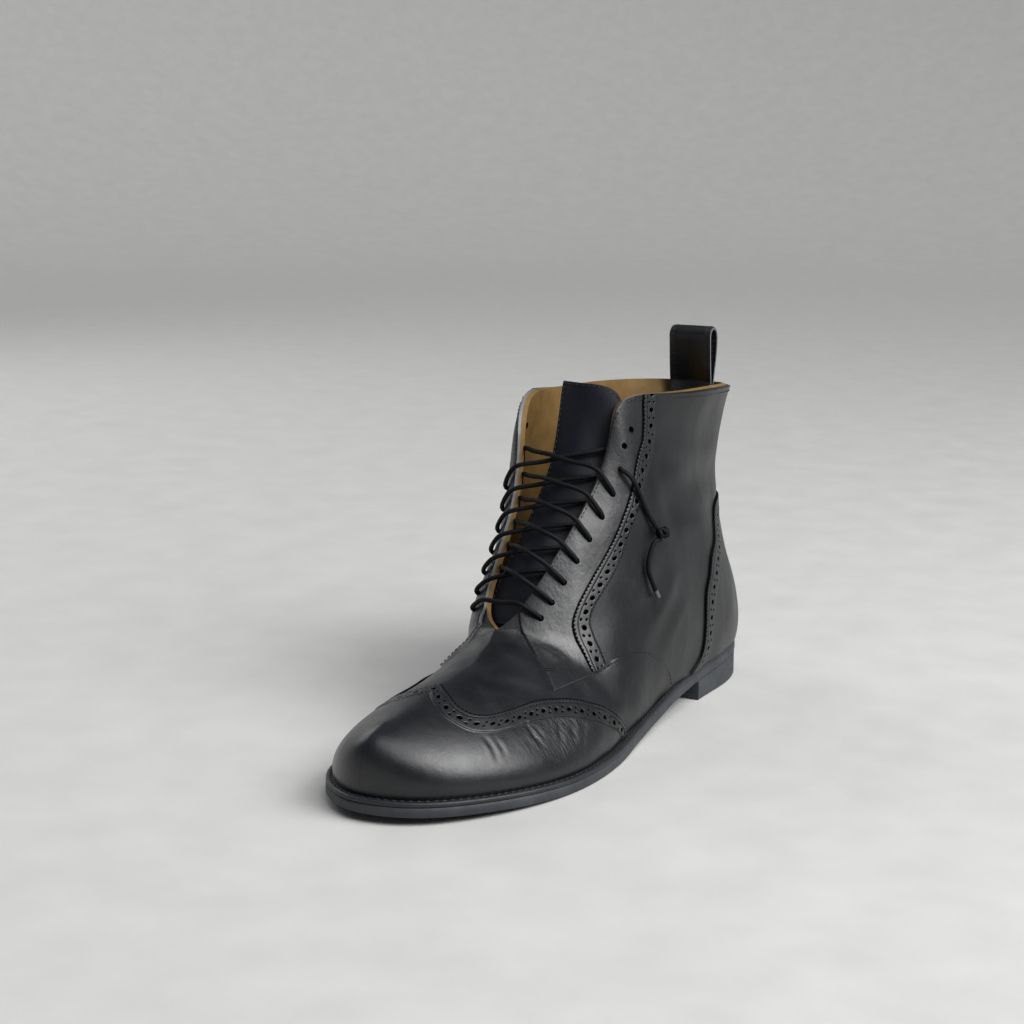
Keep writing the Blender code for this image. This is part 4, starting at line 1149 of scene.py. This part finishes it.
def make_strips(materials):
    strips = (
        ("wing_strip", WING_STRIP, WING_TOP),
        ("quarter_strip", QUARTER_STRIP, QUARTER_TOP),
        ("counter_strip", COUNTER_STRIP, COUNTER_TOP),
    )
    for name, table, top in strips:
        for side, word in BOTH:
            patch, uv, edges = strip_grid(side, table, top)
            sheet_solid(f"{name}_{word}", [], [patch], [materials["strip"], materials["shadow"]], 0, 1,
                        {"strip": uv, "edges": edges})
            width = row_widths(side, table)
            for count, share in enumerate((EDGE_STITCH / width, 1 - SEAM_STITCH / width)):
                height = top + STRIP_RISE - 0.00012 - 0.00010 * count
                stitch_row(f"{name}_stitches_{word}_{count}", side, between(table, share[:, None]), height,
                           materials["thread"], STRIP_STITCH)


def make_seams(materials):
    """Stitches along the facings, the vamp's tab and the collar, and the bar tack at each facing's foot."""
    for side, word in BOTH:
        front = offset_path(side, path_on(EYESTAY[:4, :2]), FACING_INSET * side)
        tab = offset_path(side, path_on(TAB_EDGE), -TAB_INSET * side)
        bar = path_on(BAR_TACK)
        tack = (EYESTAY_TOP + FLAP_RISE, TACK_STITCH)
        rows = (
            # name, path, height, stitch
            (f"eyestay_front_stitches_{word}", front, eyestay_top(*front.T), FACING_STITCH),
            (f"eyestay_throat_stitches_{word}", path_on(THROAT_SEAM), EYESTAY_TOP, FACING_STITCH),
            (f"tab_stitches_{word}", tab, VAMP_TAB_TOP, TAB_STITCH),
            (f"collar_stitches_{word}", path_on(COLLAR_EDGE), QUARTER_TOP, USUAL_STITCH),
            (f"bar_tack_{word}_0", offset_path(side, bar, -TACK_HALF), *tack),
            (f"bar_tack_{word}_1", offset_path(side, bar, TACK_HALF), *tack),
        )
        for name, path, height, stitch in rows:
            stitch_row(name, side, path, height, materials["thread"], stitch)


# Sole


def ring_loop(inset, height, shares):
    """Closed loop of points along the sole's outline at a height over the lift."""
    loops = []
    for side, _ in BOTH:
        x, along, _, _ = outline(side, shares, inset)
        loops.append(np.stack([x, along, lift(along) + height], -1))
    return place(np.concatenate([loops[0], loops[1][::-1][1:-1]]))


def loft(name, node, loops, material, skip=0):
    """Solid through closed loops, with flat caps woven across from side to side.

    On a cap, point i lies opposite to point count - skip - i.
    """
    count = len(loops[0])
    faces = tube_faces(len(loops), count)
    for base, way in ((0, 1), ((len(loops) - 1) * count, -1)):
        for i in range(count // 2):
            quad = (i, i + 1, (count - skip - i - 1) % count, (count - skip - i) % count)
            ring = [base + number for number in dict.fromkeys(quad)]
            if len(ring) > 2:
                faces.append(ring[::way])
    obj = add_piece(name, np.concatenate(loops), faces, [material], smooth_angle=50.0)
    fix_normals(obj)
    keep(obj, [node])


def make_sole(materials):
    shares = rib_shares(150)
    top = SOLE_THICKNESS
    outsole_top = top - WELT_THICKNESS - GAP
    low = outsole_top + GAP * 0.4
    # Inset and height of each ring, in metres
    outsole = ((0.0012, 0.0), (0.0004, 0.0002), (0.0, 0.0009), (0.0, outsole_top * 0.55),
               (0.0001, outsole_top - 0.0006), (0.0005, outsole_top - 0.0001), (0.0012, outsole_top))
    welt = ((0.0012, low), (0.0003, low + 0.0001), (0.0001, low + 0.0005), (0.0002, top - 0.0004),
            (0.0006, top - 0.0001), (0.0013, top))
    loft("outsole_rubber", "outsole", [ring_loop(*ring, shares) for ring in outsole],
         materials["rubber"])
    loft("welt_rubber", "welt", [ring_loop(*ring, shares) for ring in welt], materials["welt"])
    for side, word in BOTH:
        x, along, _, _ = outline(side, np.linspace(0.0, 0.74, 900), 0.0021)
        points = place(np.stack([x, along, lift(along) + top + 0.0001], -1))
        normals = np.tile([0.0, 0.0, 1.0], (len(points), 1))
        stitches(f"welt_stitches_{word}", points, normals, materials["thread"], WELT_STITCH)


def rib_shares(steps):
    """Shares along the sole, closer together at the toe, the ball and the heel."""
    even = np.linspace(0, 1, steps + 1)
    bent = even + 0.16 * even * (1 - even)
    twice = 0.40 / (4 * math.pi) * np.sin(4 * math.pi * even)
    return bent - twice - 0.25 / (2 * math.pi) * np.sin(2 * math.pi * even)


def share_at(side, along):
    s = np.linspace(0.3, 1.0, 400)
    return float(np.interp(-along, -outline(side, s)[1], s))


HEEL_SEAM = 0.0052
HEEL_STEPS = 60


def make_heel(materials):
    """Heel block with a straight breast and a line over its lowest layer."""
    bend = np.sin(np.linspace(0, math.pi / 2, HEEL_STEPS + 1)) ** 0.8
    seam = HEEL_SEAM / HEEL_HEIGHT
    # Inset in metres and share of the height of each ring
    profile = ((0.0010, 0.0), (0.0003, 0.02), (0.0, 0.07), (0.0, seam - 0.02), (0.00012, seam),
               (0.0, seam + 0.02), (0.0, 0.93), (0.0004, 0.985), (0.0010, 1.0))
    loops = []
    for inset, share_up in profile:
        sides = []
        for side, _ in BOTH:
            start = share_at(side, HEEL_LENGTH - inset)
            x, along, _, _ = outline(side, start + (1 - start) * bend, 0.0003 + inset)
            sides.append(np.stack([x, along, (lift(along) - GAP * 0.5) * share_up], -1))
        loops.append(place(np.concatenate([sides[0], sides[1][::-1][1:]])))
    loft("heel_rubber", "heel", loops, materials["rubber"], 1)


# Tongue, pull loop and laces

# Share of the throat's gap by which the tongue's free edge stands clear, so that the lining shows
FREE_EDGE_SHIFT = 0.07
TONGUE_TOP_RISE = 0.0035
TONGUE_COLUMNS = 40


def make_tongue(materials):
    table = refined(TONGUE)
    run = np.linspace(0, 1, len(table))
    table[:, 1] += FREE_EDGE_SHIFT * np.sin(np.pi * (0.12 + 0.80 * run))
    table[:, 3] += TONGUE_TOP_RISE * run ** 4
    depth = -(UPPER_DEPTH + WALL + TONGUE_CLEAR)
    sections = []
    for s, share, crown, rise in table:
        inner, outer = (raised(side, s, 1.0, depth) for side in (MEDIAL, LATERAL))
        free = raised(MEDIAL, s, 1 + min(share, 0), depth) + (outer - inner) * max(share, 0)
        tucked = raised(LATERAL, s, 0.87, depth - 0.0006)
        middle = (free + outer) / 2 + throat_normal(s) * crown
        under = outer - throat_normal(s) * 0.0014
        section = smooth_route([free, middle, under, tucked], TONGUE_COLUMNS)
        section[:, 2] += rise * np.linspace(1.0, 0.3, TONGUE_COLUMNS)
        sections.append(section)
    outer = np.array(sections)
    normal = np.cross(np.gradient(outer, axis=1), np.gradient(outer, axis=0))
    normal /= np.linalg.norm(normal, axis=-1, keepdims=True)
    normal *= np.sign(-normal[..., 1:2].mean())
    rows = run[:, None]
    cols = np.linspace(0, 1, TONGUE_COLUMNS)[None]
    ripple = 0.0005 * np.sin(9 * cols + 3 * rows) * np.sin(5 * rows * np.pi) * np.sin(np.pi * cols)
    face = outer + normal * ripple[..., None]
    sheet_solid("tongue_leather", ["tongue"], [(outer, face, face - normal * TONGUE_THICKNESS, False)],
                [materials["tongue"], materials["tan"], materials["edge"]], 1, 0)
    edge_line = np.concatenate([outer[10:, 1], outer[-2, 1:]])
    edge_normal = np.concatenate([normal[10:, 1], normal[-2, 1:]])
    stitches("tongue_stitches", edge_line + edge_normal * 0.0001, edge_normal, materials["thread"])


# Middle line of the pull loop, forward and up from the collar's rim, as shares of its rise
PULL_LOOP = np.array([
    (0.00, -0.50),
    (0.00, 0.00),
    (-0.03, 0.40),
    (-0.02, 0.75),
    (0.02, 0.93),
    (0.11, 1.00),
    (0.21, 0.98),
    (0.28, 0.88),
    (0.26, 0.70),
    (0.20, 0.40),
    (0.13, 0.10),
    (0.10, -0.06),
    (0.10, -0.50),
])


def make_pull_loop(materials):
    count = 120
    knots = np.arange(len(PULL_LOOP), dtype=float)
    at = np.linspace(0, len(PULL_LOOP) - 1, count)
    forward, up = (spline(knots, column, at) * LOOP_RISE for column in PULL_LOOP.T)
    depth = -UPPER_DEPTH - WALL - 2 * GAP - LOOP_THICKNESS / 2 - 0.0006
    wall = raised(LATERAL, np.ones(20), np.linspace(0.7, 1.0, 20), depth)
    rim = wall[-1]
    beside = raised(LATERAL, np.array([0.975]), np.array([1.0]), depth)[0]
    bend = (rim[1] - beside[1]) / beside[0] ** 2
    height = rim[2] + up
    centre = np.stack([np.interp(height, wall[:, 2], wall[:, 1]) - forward, height], -1)
    run = np.gradient(centre, axis=0)
    run /= np.linalg.norm(run, axis=1)[:, None]
    turn = np.stack([-run[:, 1], run[:, 0]], -1)
    sag = bend * np.clip(1 - up / LOOP_RISE, 0.2, 1)

    def line(x, half):
        """Line along the loop at x from its middle, half its thickness from its middle line."""
        face = centre + turn * half
        return np.stack([np.full(count, x), face[:, 0] - sag * x * x, face[:, 1]], -1)

    faces = []
    for way in (1, -1):
        columns = []
        for x in np.linspace(-LOOP_WIDTH / 2, LOOP_WIDTH / 2, 24):
            edge = np.clip((LOOP_WIDTH / 2 - abs(x)) / 0.0008, 0, 1)
            columns.append(line(x, LOOP_THICKNESS / 2 * (0.55 + 0.45 * edge) * way))
        faces.append(np.stack(columns, 1))
    sheet_solid("pull_loop_leather", ["pull_loop"], [(faces[0], faces[0], faces[1], False)],
                [materials["leather"], materials["edge"]], 0, 1)
    for number, x in enumerate((-LOOP_WIDTH / 2 + 0.0022, LOOP_WIDTH / 2 - 0.0022)):
        for way, word in ((1, "out"), (-1, "in")):
            normals = np.stack([np.zeros(count), turn[:, 0] * way, turn[:, 1] * way], -1)
            stitches(f"pull_loop_stitches_{number}_{word}", line(x, LOOP_THICKNESS / 2 * way), normals,
                     materials["thread"])


CORD_DIAMETER = 0.0022


def cord_piece(name, nodes, points, material, wide=1.0, closed=False):
    """Round cord through points, in place of the nodes of the solids."""
    data = bpy.data.curves.new(name, "CURVE")
    data.dimensions = "3D"
    data.bevel_depth = CORD_DIAMETER / 2 * wide
    data.bevel_resolution = 3
    data.use_fill_caps = True
    line = data.splines.new("POLY")
    line.points.add(len(points) - 1)
    for target, point in zip(line.points, points):
        target.co = (*point, 1.0)
    line.use_cyclic_u = closed
    data.materials.append(material)
    return keep(new_object(name, data), nodes)


def near_edge(side, number, height, back=0.0):
    """Point at a height beside an eyelet, from the throat's edge at back 0 to the eyelet at back 1."""
    return raised(side, EYELET_S[number], 1.0 - back * (1.0 - EYELET_V), height)


# Height of each strand's slack arch over the throat in metres, from the eyelet where it comes out
STRAND_ARCH = {
    LATERAL: {8: 0.0060, 7: 0.0075, 6: 0.0065, 5: 0.0080, 4: 0.0070, 3: 0.0050},
    MEDIAL: {8: 0.0030, 7: 0.0035, 6: 0.0030, 5: 0.0035, 4: 0.0030, 3: 0.0020},
}


def make_laces(materials):
    clear = EYESTAY_TOP + CORD_DIAMETER / 2 + 0.0001
    # Height and way back of a lace that comes out of its eyelet
    rise_out = ((-0.0042, 1.0), (-0.0015, 1.0), (clear * 0.75, 0.96), (clear + 0.0006, 0.62),
                (clear + 0.0008, 0.25), (clear + 0.0010, 0.0))

    def leaving(side, number):
        return [near_edge(side, number, height, back) for height, back in rise_out]

    start, end = leaving(LATERAL, BAR_EYELET), leaving(MEDIAL, BAR_EYELET)
    middle = (start[-1] + end[-1]) / 2 + throat_normal(EYELET_S[BAR_EYELET]) * 0.0006
    route = smooth_route(start + [middle] + end[::-1], 60)
    cord_piece("lace_bar_cord", ["lace_bar"], route, materials["lace"])
    for number in range(BAR_EYELET - 1, LAST_LACED, -1):
        outward = throat_normal(EYELET_S[number])
        for side, word in BOTH:
            path = leaving(side, number)
            goal = near_edge(-side, number - 1, -0.0022)
            span = goal - path[-1]
            rise = STRAND_ARCH[side][number]
            hump = [path[-1] + span * share + outward * rise * math.sin(math.pi * share ** 0.8)
                    for share in (0.3, 0.6)]
            before = goal - span * 0.10 + outward * 0.0002
            tucked = near_edge(-side, number - 1, -0.0052, 0.75)
            route = smooth_route(path + hump + [before, goal - outward * 0.0022, tucked], 48)
            nodes = [f"lace_cross_{number}"] if side == LATERAL else []
            cord_piece(f"lace_strand_{number}_{word}", nodes, route, materials["lace"])


# Free end from its eyelet to the knot and tail from the knot to its tip, as s, v and height in metres
LACE_END = (
    (0.693, 0.885, 0.0003),
    (0.6935, 0.880, 0.0019),
    (0.6960, 0.858, 0.0032),
    (0.698, 0.825, 0.0038),
    (0.698, 0.780, 0.0035),
    (0.695, 0.725, 0.0030),
    (0.693, 0.670, 0.0029),
    (0.6925, 0.626, 0.0034),
)
KNOT_SHIFT = 0.0022
LACE_TAIL = (
    (0.6840, 0.598, 0.0050),
    (0.6740, 0.612, 0.0046),
    (0.6600, 0.606, 0.0040),
    (0.6480, 0.585, 0.0036),
    (0.6420, 0.560, 0.0034),
    (0.6400, 0.530, 0.0034),
    (0.6396, 0.500, 0.0032),
)


def on_quarter(rows, count):
    """Smooth route over the outer quarter."""
    s, v, height = np.array(rows).T
    return smooth_route(raised(LATERAL, s, v, height), count)


def make_lace_end(materials):
    lace = materials["lace"]
    run = on_quarter(LACE_END, 60)
    tail = on_quarter(LACE_TAIL, 50)
    tail = np.concatenate([tail, tail[-1] + (tail[-1] - tail[-2]) * np.arange(1, 13)[:, None]])
    run_piece = cord_piece("lace_free_end", ["lace_end"], run, lace)
    tail_piece = cord_piece("lace_free_tail", ["lace_tail"], tail, lace)
    out = normal_on_last(LATERAL, 0.69, 0.6)
    backward = np.cross([0.0, 0.0, 1.0], out)
    backward /= np.linalg.norm(backward)
    upward = np.cross(out, backward)
    centre = (run[-1] + tail[0]) / 2 + backward * KNOT_SHIFT
    turns = np.linspace(0, 2 * math.pi, 121)[:-1]
    bends = [centre + backward * 0.0031 * np.sin(t) + upward * 0.0016 * np.cos(3 * t + 0.4)
             + out * (0.0014 * np.sin(3 * t) + 0.0008) for t in turns]
    knot = cord_piece("lace_knot_turns", ["lace_knot"], bends, lace, closed=True)
    tip_points = np.concatenate([tail[-8:], tail[-1:] + (tail[-1:] - tail[-2:-1]) * 0.4])
    tip = cord_piece("lace_tip_sleeve", ["lace_tip"], tip_points, materials["tip"], 1.06)


CUTTER_LENGTH = 0.014


def punch_eyelets(targets):
    """Holes through the facings, one round cutter for each eyelet."""
    work = bmesh.new()
    radius = EYELET_DIAMETER / 2
    for side, _ in BOTH:
        for s in EYELET_S:
            turn = Vector(normal_on_last(side, s, EYELET_V)).to_track_quat("Z", "Y").to_matrix().to_4x4()
            spot = Matrix.Translation(Vector(on_last(side, s, EYELET_V))) @ turn
            bmesh.ops.create_cone(work, cap_ends=True, segments=20, radius1=radius, radius2=radius,
                                  depth=CUTTER_LENGTH, matrix=spot)
    mesh = bpy.data.meshes.new("cutter")
    work.to_mesh(mesh)
    work.free()
    cutter = new_object("cutter", mesh)
    for target in targets:
        cut = target.modifiers.new("eyelets", "BOOLEAN")
        cut.operation = "DIFFERENCE"
        cut.object = cutter
        bpy.context.view_layer.objects.active = target
        bpy.ops.object.modifier_apply(modifier=cut.name)
    bpy.data.objects.remove(cutter)


def finish_insole(materials):
    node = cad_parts["insole"]
    node.data.materials.clear()
    node.data.materials.append(materials["tan"])


# Stage and light

FLOOR_REACH = 5.0
FLOOR_SIDES = 96
BACKDROP_RISE = 1.5
FLAT_RADII = [0.4, 1.5, 3.0]


def make_stage():
    """Pale floor that bends up all round into a low backdrop."""
    g = Graph("floor_grey")
    speck = g.noise(30.0, 4.0)
    colour = g.mixed(g.ranged(speck, 0.3, 0.7, 0.0, 1.0), (0.50, 0.50, 0.485), (0.54, 0.54, 0.525))
    finish = g.finish(colour, g.ranged(speck, 0.3, 0.7, 0.62, 0.72), g.bump(g.noise(400.0), 0.05, 0.0003))
    bend = np.linspace(0, 1, 24)[1:] * math.pi / 2
    radii = np.concatenate([FLAT_RADII, FLOOR_REACH * 0.6 + FLOOR_REACH * 0.4 * np.sin(bend)])
    heights = np.concatenate([[0.0] * len(FLAT_RADII), BACKDROP_RISE * (1 - np.cos(bend))])
    around = np.arange(FLOOR_SIDES) * 2 * math.pi / FLOOR_SIDES
    points = [(0.0, 0.0, 0.0)]
    for radius, height in zip(radii, heights):
        points += [(radius * math.cos(angle), radius * math.sin(angle), height) for angle in around]
    faces = [(0, 1 + i, 1 + (i + 1) % FLOOR_SIDES) for i in range(FLOOR_SIDES)]
    faces += [(a, d, c, b) for a, b, c, d in tube_faces(len(radii), FLOOR_SIDES, 1)]
    add_piece("floor", points, faces, [finish])
    world = bpy.data.worlds.new("world")
    world.use_nodes = True
    background = world.node_tree.nodes["Background"].inputs
    background["Color"].default_value = (0.60, 0.64, 0.70, 1.0)
    background["Strength"].default_value = 0.16
    bpy.context.scene.world = world


LIGHT_TARGET = Vector((0.0, 0.0, 0.06))


def area_light(name, direction, size, power):
    """Soft lamp at an azimuth, elevation and distance, aimed at the boot."""
    data = bpy.data.lights.new(name, "AREA")
    data.shape = "RECTANGLE"
    data.size, data.size_y = size
    data.energy = power
    light = new_object(name, data)
    light.location = from_direction(*direction)
    aim(light, LIGHT_TARGET - light.location)


def make_lights():
    area_light("key", (92, 42, 1.5), (1.0, 0.9), 22.0)
    area_light("fill", (-105, 35, 1.8), (1.2, 1.0), 7.0)
    data = bpy.data.lights.new("sky", "SUN")
    data.energy = 1.9
    data.angle = math.radians(50)
    aim(new_object("sky", data), -from_direction(75, 62))
    bpy.context.scene.view_settings.view_transform = "Standard"


def main():
    make_camera()
    materials = make_materials()
    make_laces(materials)
    make_lace_end(materials)
    shell = make_shell(materials)
    facings = make_panels(materials)
    punch_eyelets([shell, *facings])
    make_strips(materials)
    make_seams(materials)
    make_sole(materials)
    make_heel(materials)
    make_tongue(materials)
    make_pull_loop(materials)
    finish_insole(materials)
    make_stage()
    make_lights()


main()
